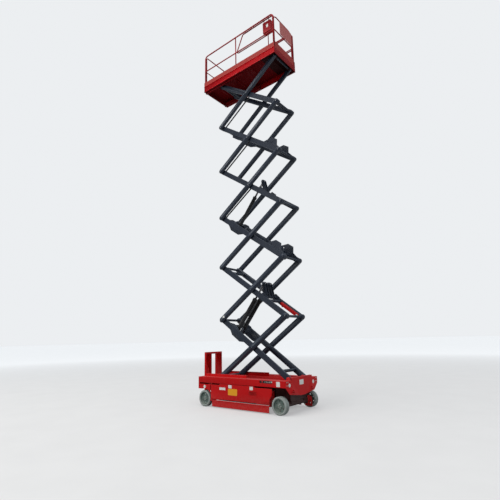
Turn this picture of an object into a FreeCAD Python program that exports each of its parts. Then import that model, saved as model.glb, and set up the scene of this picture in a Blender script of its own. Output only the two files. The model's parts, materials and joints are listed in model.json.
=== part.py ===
import FreeCAD, Part
import math
import os

V = FreeCAD.Vector

# Self-propelled scissor lift, raised as it stands at work. Millimetres, +Z up, ground at Z = 0.
# +X is the steered end, -Y is the near side. The origin is on the ground under the middle.

# Overall
OVERALL_HALF_LENGTH = 1410.0
CHASSIS_FRONT_X = OVERALL_HALF_LENGTH - 40.0
CHASSIS_REAR_X = 120.0 - OVERALL_HALF_LENGTH
SIDE_HALF_WIDTH = 675.0

# Wheels
TYRE_RADIUS = 190.5
TYRE_WIDTH = 127.0
TYRE_SHOULDER = 14.0
TYRE_EDGE = 5.0
RIM_RADIUS = 148.0
RIM_WALL = 9.0
RIM_INSET = 6.0
RIM_DISH = 34.0
RIM_PLATE = 12.0
RIM_FILLET = 14.0
RIM_HOLES = 6
RIM_HOLE_RADIUS = 13.0
STEER_AXLE_X = CHASSIS_FRONT_X - 190.0
REAR_AXLE_X = CHASSIS_REAR_X + 220.0
TRACK_OUTER = 685.0
TYRE_INNER_Y = TRACK_OUTER - TYRE_WIDTH
HUB_RADIUS = 48.0
HUB_LENGTH = 44.0
HUB_CAP_RADIUS = 18.0
HUB_CAP_HEIGHT = 16.0
SPINDLE_RADIUS = 28.0
SPINDLE_END = 40.0
DRUM_RADIUS = 78.0
DRUM_LENGTH = 10.0

# Running fits
PIN_FIT = 0.05
RUNNING_GAP = 0.4
SIDE_GAP = 6.0

# Scissor stack
STAGES = 6
ARM_LENGTH = 2420.0
REST_ANGLE = 35.2
ARM_DEPTH = 130.0
ARM_WIDTH = 50.0
INNER_BAR_FACE = 285.0
ARM_GAP = 10.0
PIVOT_RADIUS = 30.0
PIN_HEAD_RADIUS = 44.0
PIN_HEAD_THICKNESS = 7.0
COLLAR_RADIUS = 46.0
COLLAR_LENGTH = 14.0
END_TUBE_INSET = 280.0
CROSS_TUBE_RADIUS = 36.0
BASE_PIVOT_X = CHASSIS_FRONT_X - 140.0
BASE_PIVOT_Z = 704.0
HIGHEST_ANGLE = 60.0
ROLLER_RADIUS = 40.0
ROLLER_WIDTH = 30.0

# Lift cylinders: where each is pinned along its two inner arms
FOOT_ALONG = 0.1694 * ARM_LENGTH
FOOT_TUBE_DROP = 115.0
EYE_ALONG = 0.536 * ARM_LENGTH
EYE_RISE = 257.5
EYE_TUBE_ALONG = 0.6446 * ARM_LENGTH
EYE_TUBE_RISE = 20.0
CYLINDER_PIN_RADIUS = 25.0
EYE_RADIUS = 46.0
EYE_WIDTH = 50.0
LUG_THICKNESS = 15.0
BARREL_LENGTH = 0.384 * ARM_LENGTH
BORE_START = 110.0
ROD_START = 0.2025 * ARM_LENGTH
NECK_LENGTH = 30.0
GLAND_LENGTH = 60.0
GLAND_WALL = 6.0
PORT_RADIUS = 13.0
PORT_HEIGHT = 22.0
LOWER_BARREL_RADIUS = 55.0
UPPER_BARREL_RADIUS = 48.0
ROD_RADIUS = 26.0
LOWER_CYLINDER_Y = 105.0

# Gusset plates on the inner arms
GUSSET_THICKNESS = 16.0
PAD_DEPTH = 100.0
# Where the right-hand cross tube stands, when another part needs its usual place
MOVED_TUBE_INSETS = {2: 710.0, 4: 130.0, 6: 130.0}
# Outlines and pads as (along the arm, above its middle line) from the arm's left-hand end
FOOT_OUTLINE = [(190, 48), (335, 105), (470, 110), (560, 48), (950, -40), (730, -165), (430, -165),
                (340, -110), (200, -40)]
FOOT_PAD = (210.0, 700.0)
FIN_OUTLINE = [(480, -40), (540, -135), (800, -140), (1080, -40)]
FIN_PAD = (520.0, 1020.0)
# The same from the arm's right-hand end
HOSE_OUTLINE = [(-720, -40), (-700, 60), (-570, 165), (-470, 245), (-290, 245), (-205, 108), (-20, 62),
                (-20, 34), (-90, -40)]
HOSE_WINDOW = [(-420, 85), (-250, 85), (-310, 190), (-400, 190)]
HOSE_EYELET = (-540.0, 100.0)
HOSE_EYELET_RADIUS = 16.0
HOSE_PAD = (-690.0, -110.0)
HOSE_TUBE = (-485.0, -5.0)

# Maintenance bar
BAR_LENGTH = 535.0
BAR_DEPTH = 90.0
BAR_THICKNESS = 14.0
BAR_HINGE_INSET = 85.0
BAR_RISE = -10.0
BAR_PIN_RADIUS = 10.0
BAR_BOSS_RADIUS = 30.0
BAR_REST_INSET = 50.0

# Chassis
SKIN = 8.0
DECK_Z = 700.0
BAND_BOTTOM_Z = 562.0
ARCH_RADIUS = 235.0
FENDER_FRONT_X = REAR_AXLE_X + 195.0
FENDER_TOP_Z = 528.0
FENDER_LOW_Z = 300.0
FENDER_REAR_Z = 414.0
FENDER_NECK = 50.0
FENDER_STAY_X = REAR_AXLE_X + 140.0
END_FLANK_Z = 560.0
END_SHOULDER = (526.0, 415.0)
END_KEEL = (90.0, 358.0)
LIP_HALF_WIDTH = 430.0
LIP_TOP_Z = 754.0
LIP_DEPTH = 60.0
BEAM_INNER_Y = 408.0
BEAM_OUTER_Y = 466.0
BEAM_BOTTOM_Z = 560.0
BEAM_WALL = 12.0
TRACK_FLANGE = 9.0
TRACK_CLEARANCE = 5.0
TRACK_MARGIN = 90.0
BELLY_HALF_WIDTH = 400.0
BELLY_BOTTOM_Z = 130.0
BELLY_FLOOR = 10.0
BELLY_REAR_X = REAR_AXLE_X + 210.0
BELLY_FRONT_X = STEER_AXLE_X - 260.0
CROSS_MEMBER_TOP_Z = 606.0
CROSS_MEMBER_HALF = 50.0
PIVOT_BRACKET = 18.0
PIVOT_BRACKET_HALF = 60.0
PIVOT_BOSS_RADIUS = 54.0
TIE_HOLE_RADIUS = 13.0
TIE_LUG_Y = 390.0
TIE_LUG_Z = 475.0
TIE_LUG_THICKNESS = 16.0
TIE_LUG_HALF_HEIGHT = 32.0
TIE_FRONT_REACH = 20.0
TIE_REAR_REACH = 28.0
TIE_REAR_LENGTH = 52.0

# Axles
AXLE_Z = TYRE_RADIUS
AXLE_HALF_DEPTH = 50.0
AXLE_HALF_WIDTH = 40.0
AXLE_PAD_HEIGHT = 10.0
AXLE_PAD_HALF_X = 60.0
AXLE_PAD_HALF_Y = 10.0
AXLE_PAD_INSET = 60.0
AXLE_PLATE_HALF = 62.0
AXLE_PLATE = 22.0
COLUMN_HALF_X = 75.0
COLUMN_HALF_Y = 330.0
COLUMN_TIE = 20.0
KINGPIN_Y = TYRE_INNER_Y - 13.0
KINGPIN_RADIUS = 12.0
KNUCKLE_HALF_HEIGHT = 56.0
EAR_RADIUS = 31.0
EAR_THICKNESS = 22.0
FORK_SETBACK = 75.0
FORK_WEB = 30.0
YOKE_REAR_REACH = 80.0
YOKE_FRONT_REACH = 100.0
YOKE_LOW_Z = 40.0
YOKE_HIGH_Z = 243.0
YOKE_THICKNESS = 12.0
YOKE_INSET = 20.0
YOKE_WINDOW_HALF = 66.0
STEER_ARM_BACK = 150.0
STEER_ARM_IN = 25.0
STEER_ARM_THICKNESS = 16.0
STEER_ARM_DROP = 46.0
STEER_ARM_ROOT = 20.0
TIE_ROD_RADIUS = 13.0
TIE_PIN_RADIUS = 9.0
TIE_END_RADIUS = 17.0

# Swing-out trays and pothole guards
TRAY_REAR_X = REAR_AXLE_X + 214.0
TRAY_FRONT_X = STEER_AXLE_X - 255.0
TRAY_NOSE_X = STEER_AXLE_X - 182.0
TRAY_NOSE_Z = (310.0, 392.0)
TRAY_BOTTOM_Z = 186.0
TRAY_TOP_Z = 528.0
TRAY_CREST = (-560.0, 500.0, 554.0)
TRAY_SLOT = (-546.0, 566.0, 200.0)
TRAY_INNER_Y = 474.0
TRAY_OUTER_Y = 672.0
TRAY_SKIN = 16.0
TRAY_FLOOR_Z = 200.0
TRAY_WALL_DROP = 60.0
TRAY_RAMP = 20.0
TRAY_LIP = 90.0
TRAY_HINGE_X = TRAY_REAR_X + 3.0
TRAY_HINGE_Y = 662.0
HINGE_PIN_RADIUS = 8.0
HINGE_BOSS_RADIUS = 15.0
HINGE_BOSS_HEIGHT = 44.0
HINGE_PLATE = 14.0
LUG_HALF_LENGTH = 18.0
GUARD_HINGE_Z = 162.0
GUARD_Y = 655.0
GUARD_THICKNESS = 10.0
GUARD_LIP = 12.0
GUARD_BOTTOM_Z = 22.0
GUARD_REAR_X = TRAY_REAR_X + 34.0
GUARD_FRONT_X = TRAY_FRONT_X - 23.0
GUARD_TUBE_RADIUS = 13.0
GUARD_PIN_RADIUS = 6.0
GUARD_PIN_LENGTH = 34.0

# Blocks in the trays, and the control panel let into the near side
BLOCK_GAP = 4.0
BATTERY_HEIGHT = 270.0
BATTERY_REAR_X = TRAY_REAR_X + 296.0
BATTERY_FRONT_X = TRAY_FRONT_X - 325.0
POWER_UNIT_HEIGHT = 250.0
POWER_UNIT_REAR_X = TRAY_REAR_X + 156.0
POWER_UNIT_FRONT_X = TRAY_FRONT_X - 625.0
PANEL_REAR_X = STEER_AXLE_X - 516.0
PANEL_FRONT_X = STEER_AXLE_X - 164.0
PANEL_BOTTOM_Z = 635.0
PANEL_BACK_GAP = 30.0
PANEL_INSET = 20.0

# Ladder at the rear end
LADDER_TOP_Z = 1284.0
LADDER_BOTTOM_Z = 300.0
LADDER_CENTRE_Y = -45.0
LADDER_HALF_WIDTH = 305.0
LADDER_POST_WIDTH = 210.0
LADDER_DEPTH = 60.0
LADDER_SHEET = 6.0
LADDER_HEAD = 50.0
LADDER_TREADS_Z = (340.0, 520.0, 688.0)
LADDER_TREAD_HALF = 14.0
LADDER_STAYS_Z = (434.0, 660.0)
LADDER_STAY_WIDTH = 20.0

# Platform
PLATFORM_LENGTH = 2642.0
PLATFORM_NOSE = 100.0
PLATFORM_FRONT_X = BASE_PIVOT_X + PLATFORM_NOSE
PLATFORM_REAR_X = PLATFORM_FRONT_X - PLATFORM_LENGTH
PLATFORM_HALF_WIDTH = 520.0
UNDERSIDE_DROP = 40.0
DECK_RISE = 150.0
SIDE_FLANGE = 34.0
CHANNEL_LIP = 10.0
CHANNEL_TOP_DROP = 8.0
TOE_BOARD_HEIGHT = 140.0
MEMBER_DEPTH = 40.0
MEMBER_HALF_WIDTH = 22.0
MEMBERS = 4
PLATFORM_TRACK_DROP = 60.0
PLATFORM_TRACK_WEB = 6.0
PLATFORM_LUG_RADIUS = 52.0
PLATFORM_LUG_INSET = 10.0
RAIL_HEIGHT = 1100.0
MID_RAIL_HEIGHT = 550.0
RAIL_RADIUS = 19.0
THINNER = 3.0
RAIL_Y = 492.0
RAIL_BEND = 95.0
RAIL_INSET = 24.0
RAIL_REAR_X = PLATFORM_REAR_X + RAIL_INSET
RAIL_FRONT_X = PLATFORM_FRONT_X - RAIL_INSET
MID_POST_SETBACK = 1370.0
MID_POST_X = PLATFORM_FRONT_X - MID_POST_SETBACK
SOCKET_HALF_WIDTH = 12.0
SOCKET_HALF_LENGTH = 30.0
SOCKET_REAR = 12.0
SOCKET_HEIGHT = 50.0
GATE_RADIUS = 16.0
GATE_BOTTOM = 170.0
GATE_BEND = 60.0
GATE_RING_LENGTH = 40.0
GATE_RING_WALL = 8.0
GATE_RING_HEIGHTS = (230.0, 780.0)
EXTENSION_LENGTH = 1236.0
EXTENSION_INSET = 4.0
EXTENSION_FRONT_X = PLATFORM_FRONT_X - EXTENSION_INSET
EXTENSION_REAR_X = EXTENSION_FRONT_X - EXTENSION_LENGTH
EXTENSION_HALF_WIDTH = 466.0
EXTENSION_THICKNESS = 12.0
EXTENSION_EDGE = 6.0
EXTENSION_EDGE_HEIGHT = 110.0
EXTENSION_REAR_LIP = 40.0
EXTENSION_TOE_HEIGHT = 200.0
EXTENSION_RAIL_Y = 440.0
EXTENSION_RAIL_RADIUS = 18.0
EXTENSION_RAIL_INSET = 30.0
EXTENSION_RAIL_X = EXTENSION_FRONT_X - EXTENSION_RAIL_INSET
EXTENSION_BEND = 70.0
HOOP_BEND = 150.0
BRACE_OVERHANG = 150.0
BRACE_LOW_X = EXTENSION_REAR_X - BRACE_OVERHANG
BRACE_RUN = 260.0
BRACE_HIGH_X = BRACE_LOW_X + BRACE_RUN
BRACE_BEND = 60.0
SHORT_POST_SETBACK = 230.0
SHORT_POST_X = PLATFORM_FRONT_X - SHORT_POST_SETBACK
FRONT_RAIL_RISE = 70.0
BOARD = (-170.0, 425.0, 85.0, 30.0)
BOARD_THICKNESS = 5.0
CONTROL_BOX_SETBACK = 160.0
CONTROL_BOX_LENGTH = 260.0
CONTROL_BOX_DROP = (40.0, 380.0)
CONTROL_BOX_DEPTH = 130.0
HOOK_WIDTH = 20.0
HOOK_INSET = 40.0
HOOK_DROP = 140.0
HOOK_THICKNESS = 5.0

# Places that follow from the driving sizes
theta = math.radians(REST_ANGLE)
STAGE_HEIGHT = ARM_LENGTH * math.sin(theta)
LEFT_X = BASE_PIVOT_X - ARM_LENGTH * math.cos(theta)
INNER_BAR_OUTER = INNER_BAR_FACE + ARM_WIDTH
OUTER_BAR_FACE = INNER_BAR_OUTER + ARM_GAP
OUTER_BAR_OUTER = OUTER_BAR_FACE + ARM_WIDTH
HEAD_OUTER = OUTER_BAR_OUTER + PIN_HEAD_THICKNESS
ROLLER_Y = HEAD_OUTER + SIDE_GAP + 2.0
TRACK_Z = BASE_PIVOT_Z - ROLLER_RADIUS - RUNNING_GAP
PLATFORM_Z = BASE_PIVOT_Z + STAGES * STAGE_HEIGHT
DECK_TOP_Z = PLATFORM_Z + DECK_RISE
RAIL_TOP_Z = DECK_TOP_Z + RAIL_HEIGHT - RAIL_RADIUS
MID_RAIL_Z = DECK_TOP_Z + MID_RAIL_HEIGHT
TRACK_TOP_Z = BASE_PIVOT_Z + ROLLER_RADIUS + TRACK_CLEARANCE
TRACK_FRONT_X = BASE_PIVOT_X - ARM_LENGTH * math.cos(math.radians(HIGHEST_ANGLE)) + TRACK_MARGIN
STEER_ARM_Z = AXLE_Z - STEER_ARM_DROP
LUG_INNER = EYE_WIDTH / 2 + SIDE_GAP
BAR_Y = INNER_BAR_FACE - SIDE_GAP - GUSSET_THICKNESS - BAR_THICKNESS
GATE_HINGE_Y = RAIL_Y - RAIL_RADIUS - GATE_RADIUS - SIDE_GAP
NEAR, FAR = -1, 1


def box(x0, x1, y0, y1, z0, z1):
    """A block between two corners, given as ranges."""
    low = V(min(x0, x1), min(y0, y1), min(z0, z1))
    return Part.makeBox(abs(x1 - x0), abs(y1 - y0), abs(z1 - z0), low)


def rod_y(x, z, radius, y0, y1):
    """A round bar along Y."""
    return Part.makeCylinder(radius, abs(y1 - y0), V(x, min(y0, y1), z), V(0, 1, 0))


def rod_z(x, y, radius, z0, z1):
    """A round bar along Z."""
    return Part.makeCylinder(radius, abs(z1 - z0), V(x, y, min(z0, z1)), V(0, 0, 1))


def rod_x(y, z, radius, x0, x1):
    """A round bar along X."""
    return Part.makeCylinder(radius, abs(x1 - x0), V(min(x0, x1), y, z), V(1, 0, 0))


def plate_y(outline, y0, y1):
    """A flat plate whose outline is (x, z) points, between two values of Y."""
    points = [V(x, min(y0, y1), z) for x, z in outline]
    wire = Part.makePolygon(points + points[:1])
    return Part.Face(wire).extrude(V(0, abs(y1 - y0), 0))


def plate_x(outline, x0, x1):
    """A flat plate whose outline is (y, z) points, between two values of X."""
    points = [V(min(x0, x1), y, z) for y, z in outline]
    wire = Part.makePolygon(points + points[:1])
    return Part.Face(wire).extrude(V(abs(x1 - x0), 0, 0))


def round_bar(x0, x1, half_depth, y0, y1, z=0.0):
    """A flat bar along X whose ends are full half circles about x0 and x1."""
    low = min(y0, y1)
    corners = [V(x0, low, z + half_depth), V(x1, low, z + half_depth)]
    corners += [V(x1, low, z - half_depth), V(x0, low, z - half_depth)]
    edges = [
        Part.LineSegment(corners[0], corners[1]),
        Part.Arc(corners[1], V(x1 + half_depth, low, z), corners[2]),
        Part.LineSegment(corners[2], corners[3]),
        Part.Arc(corners[3], V(x0 - half_depth, low, z), corners[0]),
    ]
    face = Part.Face(Part.Wire([edge.toShape() for edge in edges]))
    return face.extrude(V(0, abs(y1 - y0), 0))


def tube_path(points, radius, bend=0.0):
    """A round tube through points, with an arc of the given radius at each inner point."""
    points = [V(*point) for point in points]
    edges, start = [], points[0]
    for before, corner, after in zip(points, points[1:], points[2:]):
        back = (before - corner).normalize()
        ahead = (after - corner).normalize()
        half = math.acos(max(-1.0, min(1.0, back.dot(ahead)))) / 2
        reach = bend / math.tan(half)
        inward = (back + ahead).normalize()
        middle = corner + inward * (bend / math.sin(half) - bend)
        enter, leave = corner + back * reach, corner + ahead * reach
        edges.append(Part.LineSegment(start, enter).toShape())
        edges.append(Part.Arc(enter, middle, leave).toShape())
        start = leave
    edges.append(Part.LineSegment(start, points[-1]).toShape())
    ring = Part.Wire(Part.makeCircle(radius, points[0], points[1] - points[0]))
    return Part.Wire(edges).makePipeShell([ring], True, False)


def fuse(pieces):
    """Welds pieces into one solid."""
    pieces = list(pieces)
    return pieces[0].multiFuse(pieces[1:]).removeSplitter()


def mirrored(shape):
    """The same shape on the other side of the lift."""
    return shape.mirror(V(0, 0, 0), V(0, 1, 0))


def both_sides(shape):
    """A shape on the far side and its mirror image on the near side."""
    return [shape, mirrored(shape)]


def on_side(shape, side):
    """A shape made on the far side, for the side asked for."""
    return shape if side == FAR else mirrored(shape)


# Scissor arms. Each is drawn along +X from its left-hand end and then turned to its slope.


def place_arm(shape, stage, inner):
    """Turns an arm drawn along +X to its slope and moves it to its stage, counted from 1."""
    level = stage if inner else stage - 1
    shape.rotate(V(0, 0, 0), V(0, 1, 0), REST_ANGLE if inner else -REST_ANGLE)
    shape.translate(V(LEFT_X, 0, BASE_PIVOT_Z + level * STAGE_HEIGHT))
    return shape


def gusset(outline, pad):
    """A gusset plate inside an inner bar, welded to the bar by a pad no deeper than the bar."""
    outer = INNER_BAR_FACE - SIDE_GAP
    plate = plate_y(outline, outer - GUSSET_THICKNESS, outer)
    weld = box(pad[0], pad[1], outer - 1, INNER_BAR_FACE + 2, -PAD_DEPTH / 2, PAD_DEPTH / 2)
    return plate.fuse(weld)


def from_right(points):
    """Points given from an arm's right-hand end, counted from its left-hand end."""
    return [(ARM_LENGTH + along, rise) for along, rise in points]


def lug_pair(centre_y, outline):
    """Two plates that straddle a cylinder's eye."""
    pair = []
    for side in (NEAR, FAR):
        inner = centre_y + side * LUG_INNER
        pair.append(plate_y(outline, inner, inner + side * LUG_THICKNESS))
    return pair


def cross_tube(along, rise):
    """A round tube between the two gusset planes or bars of an inner arm."""
    reach = INNER_BAR_FACE - SIDE_GAP - GUSSET_THICKNESS / 2
    return rod_y(along, rise, CROSS_TUBE_RADIUS, -reach, reach)


def foot_bracket(eye_centres):
    """What carries the foot of a lift cylinder: gussets, a low cross tube, lugs and pins."""
    low = -FOOT_TUBE_DROP
    pieces = both_sides(gusset(FOOT_OUTLINE, FOOT_PAD))
    pieces.append(cross_tube(FOOT_ALONG, low))
    wide, narrow = EYE_RADIUS - 4, EYE_RADIUS - 10
    lug = [(FOOT_ALONG - wide, low), (FOOT_ALONG + wide, low),
           (FOOT_ALONG + narrow, CYLINDER_PIN_RADIUS + 5), (FOOT_ALONG - narrow, CYLINDER_PIN_RADIUS + 5)]
    for centre in eye_centres:
        pieces += lug_pair(centre, lug)
        reach = LUG_INNER + LUG_THICKNESS
        pieces.append(rod_y(FOOT_ALONG, 0, CYLINDER_PIN_RADIUS, centre - reach, centre + reach))
    return pieces


def eye_bracket(eye_centres):
    """What a rod's eye pushes on: a cross tube, tall lugs and a boss on each lug's outer face."""
    tube_x, tube_z = EYE_TUBE_ALONG, EYE_TUBE_RISE
    outline = [(tube_x - 110, -45), (tube_x + 150, -45), (tube_x + 110, 90), (tube_x - 60, 110)]
    pieces = both_sides(gusset(outline, (tube_x - 90, tube_x + 110)))
    pieces.append(cross_tube(tube_x, tube_z))
    lug = [
        (tube_x - 36, tube_z - 30), (tube_x + 36, tube_z - 20), (tube_x + 30, tube_z + 60),
        (EYE_ALONG + 44, EYE_RISE + 34), (EYE_ALONG + 14, EYE_RISE + 46),
        (EYE_ALONG - 40, EYE_RISE + 30), (EYE_ALONG - 44, EYE_RISE - 20),
    ]
    for centre in eye_centres:
        pieces += lug_pair(centre, lug)
        for side in (NEAR, FAR):
            face = centre + side * (LUG_INNER + LUG_THICKNESS)
            boss = CYLINDER_PIN_RADIUS + 7
            pieces.append(rod_y(EYE_ALONG, EYE_RISE, boss, face - side * 4, face + side * 7))
    return pieces


def hose_bracket():
    """Tall plates over the low end of an inner arm, which guide the hoses, with their tie tube."""
    outer = INNER_BAR_FACE - SIDE_GAP
    plate = gusset(from_right(HOSE_OUTLINE), [ARM_LENGTH + along for along in HOSE_PAD])
    eyelet_x, eyelet_z = ARM_LENGTH + HOSE_EYELET[0], HOSE_EYELET[1]
    inner = outer - 2 * GUSSET_THICKNESS
    plate = plate.cut(plate_y(from_right(HOSE_WINDOW), inner, outer + 2))
    plate = plate.cut(rod_y(eyelet_x, eyelet_z, HOSE_EYELET_RADIUS, inner, outer + 2))
    return both_sides(plate) + [cross_tube(ARM_LENGTH + HOSE_TUBE[0], HOSE_TUBE[1])]


def fin():
    """Stiffening plates under the high end of an inner arm."""
    return both_sides(gusset(FIN_OUTLINE, FIN_PAD))


LOWER_EYES = (-LOWER_CYLINDER_Y, LOWER_CYLINDER_Y)
UPPER_EYES = (0.0,)
# Extra weldments on an inner arm, by stage
INNER_EXTRAS = {
    1: lambda: foot_bracket(LOWER_EYES),
    2: lambda: eye_bracket(LOWER_EYES) + bar_hinge(),
    3: lambda: foot_bracket(UPPER_EYES) + hose_bracket(),
    4: lambda: eye_bracket(UPPER_EYES),
    5: lambda: hose_bracket() + fin(),
}


def inner_arm(stage):
    """The two inner bars of a stage, bored at both ends and the middle, with their cross tubes."""
    pieces = both_sides(round_bar(0, ARM_LENGTH, ARM_DEPTH / 2, INNER_BAR_FACE, INNER_BAR_OUTER))
    for along in (0, ARM_LENGTH / 2, ARM_LENGTH):
        collar = rod_y(along, 0, COLLAR_RADIUS, INNER_BAR_FACE - COLLAR_LENGTH, INNER_BAR_FACE + 1)
        pieces += both_sides(collar)
    right_inset = MOVED_TUBE_INSETS.get(stage, END_TUBE_INSET)
    for along in (END_TUBE_INSET, ARM_LENGTH - right_inset):
        reach = INNER_BAR_FACE + 5.0
        pieces.append(rod_y(along, 0, CROSS_TUBE_RADIUS, -reach, reach))
    if stage in INNER_EXTRAS:
        pieces += INNER_EXTRAS[stage]()
    arm = fuse(pieces)
    bored = (0, ARM_LENGTH / 2, ARM_LENGTH) if stage < STAGES else (ARM_LENGTH / 2, ARM_LENGTH)
    for along in bored:
        for side in (NEAR, FAR):
            far_face = side * (INNER_BAR_OUTER + 1)
            near_face = side * (INNER_BAR_FACE - COLLAR_LENGTH - 1)
            arm = arm.cut(rod_y(along, 0, PIVOT_RADIUS + PIN_FIT, near_face, far_face))
    if stage == STAGES:
        reach = ROLLER_Y + ROLLER_WIDTH
        arm = arm.fuse(rod_y(0, 0, PIVOT_RADIUS, -reach, reach)).removeSplitter()
    return place_arm(arm, stage, True)


def outer_arm(stage):
    """The two outer bars of a stage, joined by the pivot shafts at their ends."""
    pieces = both_sides(round_bar(0, ARM_LENGTH, ARM_DEPTH / 2, OUTER_BAR_FACE, OUTER_BAR_OUTER))
    for along in (0, ARM_LENGTH):
        pieces.append(rod_y(along, 0, PIVOT_RADIUS, -OUTER_BAR_OUTER + 1, OUTER_BAR_OUTER - 1))
    middle = ARM_LENGTH / 2
    pin_end = INNER_BAR_FACE - COLLAR_LENGTH - 4
    pieces += both_sides(rod_y(middle, 0, PIVOT_RADIUS, pin_end, OUTER_BAR_OUTER - 1))
    for along in (0, middle, ARM_LENGTH):
        pieces += both_sides(rod_y(along, 0, PIN_HEAD_RADIUS, OUTER_BAR_OUTER - 1, HEAD_OUTER))
    if stage == 1:
        reach = ROLLER_Y + ROLLER_WIDTH
        pieces += both_sides(rod_y(0, 0, PIVOT_RADIUS, OUTER_BAR_OUTER, reach))
    return place_arm(fuse(pieces), stage, False)


def rollers(stage, inner):
    """The pair of rollers on the shaft of an arm's left-hand end."""
    ring = rod_y(0, 0, ROLLER_RADIUS, ROLLER_Y, ROLLER_Y + ROLLER_WIDTH)
    ring = ring.cut(rod_y(0, 0, PIVOT_RADIUS, ROLLER_Y - 1, ROLLER_Y + ROLLER_WIDTH + 1))
    return place_arm(Part.makeCompound(both_sides(ring)), stage, inner)


# Lift cylinders. Each is drawn along +X from its foot pin and then laid between its two pins.


def cylinder_line(stage):
    """The foot pin of the cylinder on an inner arm, and the eye on the inner arm above it."""
    left = V(LEFT_X, 0, BASE_PIVOT_Z + stage * STAGE_HEIGHT)
    along = V(math.cos(theta), 0, -math.sin(theta))
    above = V(math.sin(theta), 0, math.cos(theta))
    foot = left + along * FOOT_ALONG
    eye = left + V(0, 0, STAGE_HEIGHT) + along * EYE_ALONG + above * EYE_RISE
    return foot, eye


def lay_on_line(shape, stage):
    """Turns and moves a piece drawn along +X so that it runs from the foot pin to the eye."""
    foot, eye = cylinder_line(stage)
    run = eye - foot
    shape.rotate(V(0, 0, 0), V(0, 1, 0), -math.degrees(math.atan2(run.z, run.x)))
    shape.translate(foot)
    return shape


def barrel(radius, centre_y):
    """A cylinder's barrel: a bored foot eye, a closed end, the tube, a gland and an oil port."""
    half = EYE_WIDTH / 2
    start = CYLINDER_PIN_RADIUS + NECK_LENGTH
    neck = EYE_RADIUS - 8
    port_x = start + GLAND_LENGTH + 10
    pieces = [
        rod_y(0, 0, EYE_RADIUS, centre_y - half, centre_y + half),
        box(0, start + 5, centre_y - half + 4, centre_y + half - 4, -neck, neck),
        rod_x(centre_y, 0, radius, start, BARREL_LENGTH),
        rod_x(centre_y, 0, radius + GLAND_WALL, BARREL_LENGTH - GLAND_LENGTH, BARREL_LENGTH),
        rod_x(centre_y, 0, radius + GLAND_WALL - 2, start, start + GLAND_LENGTH / 2),
        rod_z(port_x, centre_y, PORT_RADIUS, radius - 8, radius + PORT_HEIGHT),
    ]
    body = fuse(pieces)
    body = body.cut(rod_y(0, 0, CYLINDER_PIN_RADIUS + PIN_FIT, centre_y - half - 1, centre_y + half + 1))
    return body.cut(rod_x(centre_y, 0, ROD_RADIUS + PIN_FIT, BORE_START, BARREL_LENGTH + 1))


def rod(length, centre_y):
    """A cylinder's rod, with its eye and the pin that stands in the eye."""
    half = EYE_WIDTH / 2
    pieces = [
        rod_x(centre_y, 0, ROD_RADIUS, ROD_START, length - 20),
        rod_y(length, 0, EYE_RADIUS, centre_y - half, centre_y + half),
        rod_y(length, 0, CYLINDER_PIN_RADIUS, centre_y - half - 3, centre_y + half + 3),
    ]
    return fuse(pieces)


def lift_barrels(stage, radius, centres):
    """The barrels of one stage's cylinders, side by side."""
    return lay_on_line(Part.makeCompound([barrel(radius, y) for y in centres]), stage)


def lift_rods(stage, centres):
    """The rods of one stage's cylinders, side by side."""
    foot, eye = cylinder_line(stage)
    length = (eye - foot).Length
    return lay_on_line(Part.makeCompound([rod(length, y) for y in centres]), stage)


def maintenance_bar():
    """The bar that props the stack open for service: it lies inside the far bar of its inner arm."""
    hinge, y = ARM_LENGTH - BAR_HINGE_INSET, BAR_Y
    bar = round_bar(hinge - BAR_LENGTH, hinge, BAR_DEPTH / 2, y, y + BAR_THICKNESS, BAR_RISE)
    bar = bar.cut(rod_y(hinge, BAR_RISE, BAR_PIN_RADIUS + PIN_FIT, y - 1, y + BAR_THICKNESS + 1))
    return place_arm(bar, 2, True)


def bar_hinge():
    """The pin and boss that the maintenance bar turns on, and the peg that it rests on."""
    hinge = ARM_LENGTH - BAR_HINGE_INSET
    inner = BAR_Y + BAR_THICKNESS + 3
    rest_x = hinge - BAR_LENGTH + BAR_REST_INSET
    rest_z = BAR_RISE - BAR_DEPTH / 2 - RUNNING_GAP - BAR_PIN_RADIUS
    return [
        rod_y(hinge, BAR_RISE, BAR_PIN_RADIUS, BAR_Y - 3, inner + 1),
        rod_y(hinge, BAR_RISE, BAR_PIN_RADIUS + 8, BAR_Y - 9, BAR_Y - 3),
        rod_y(hinge, BAR_RISE, BAR_BOSS_RADIUS, inner, INNER_BAR_FACE + 2),
        rod_y(rest_x, rest_z, BAR_PIN_RADIUS, BAR_Y - 3, INNER_BAR_FACE + 2),
    ]


# Wheels, axles and steering


def revolve_y(outline, x, z):
    """A turned piece about an axis along Y: outline is (radius, y) points."""
    points = [V(x + radius, y, z) for radius, y in outline]
    face = Part.Face(Part.makePolygon(points + points[:1]))
    return face.revolve(V(x, 0, z), V(0, 1, 0), 360)


def tyre(x, side):
    """A solid non-marking tyre with chamfered shoulders."""
    middle, half = TRACK_OUTER - TYRE_WIDTH / 2, TYRE_WIDTH / 2
    profile = [
        (RIM_RADIUS, half - RIM_INSET), (TYRE_RADIUS - TYRE_SHOULDER, half),
        (TYRE_RADIUS - TYRE_EDGE, half - TYRE_EDGE), (TYRE_RADIUS, half - TYRE_SHOULDER),
    ]
    outline = [(radius, middle - y) for radius, y in profile]
    outline += [(radius, middle + y) for radius, y in reversed(profile)]
    return on_side(revolve_y(outline, x, AXLE_Z), side)


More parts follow.
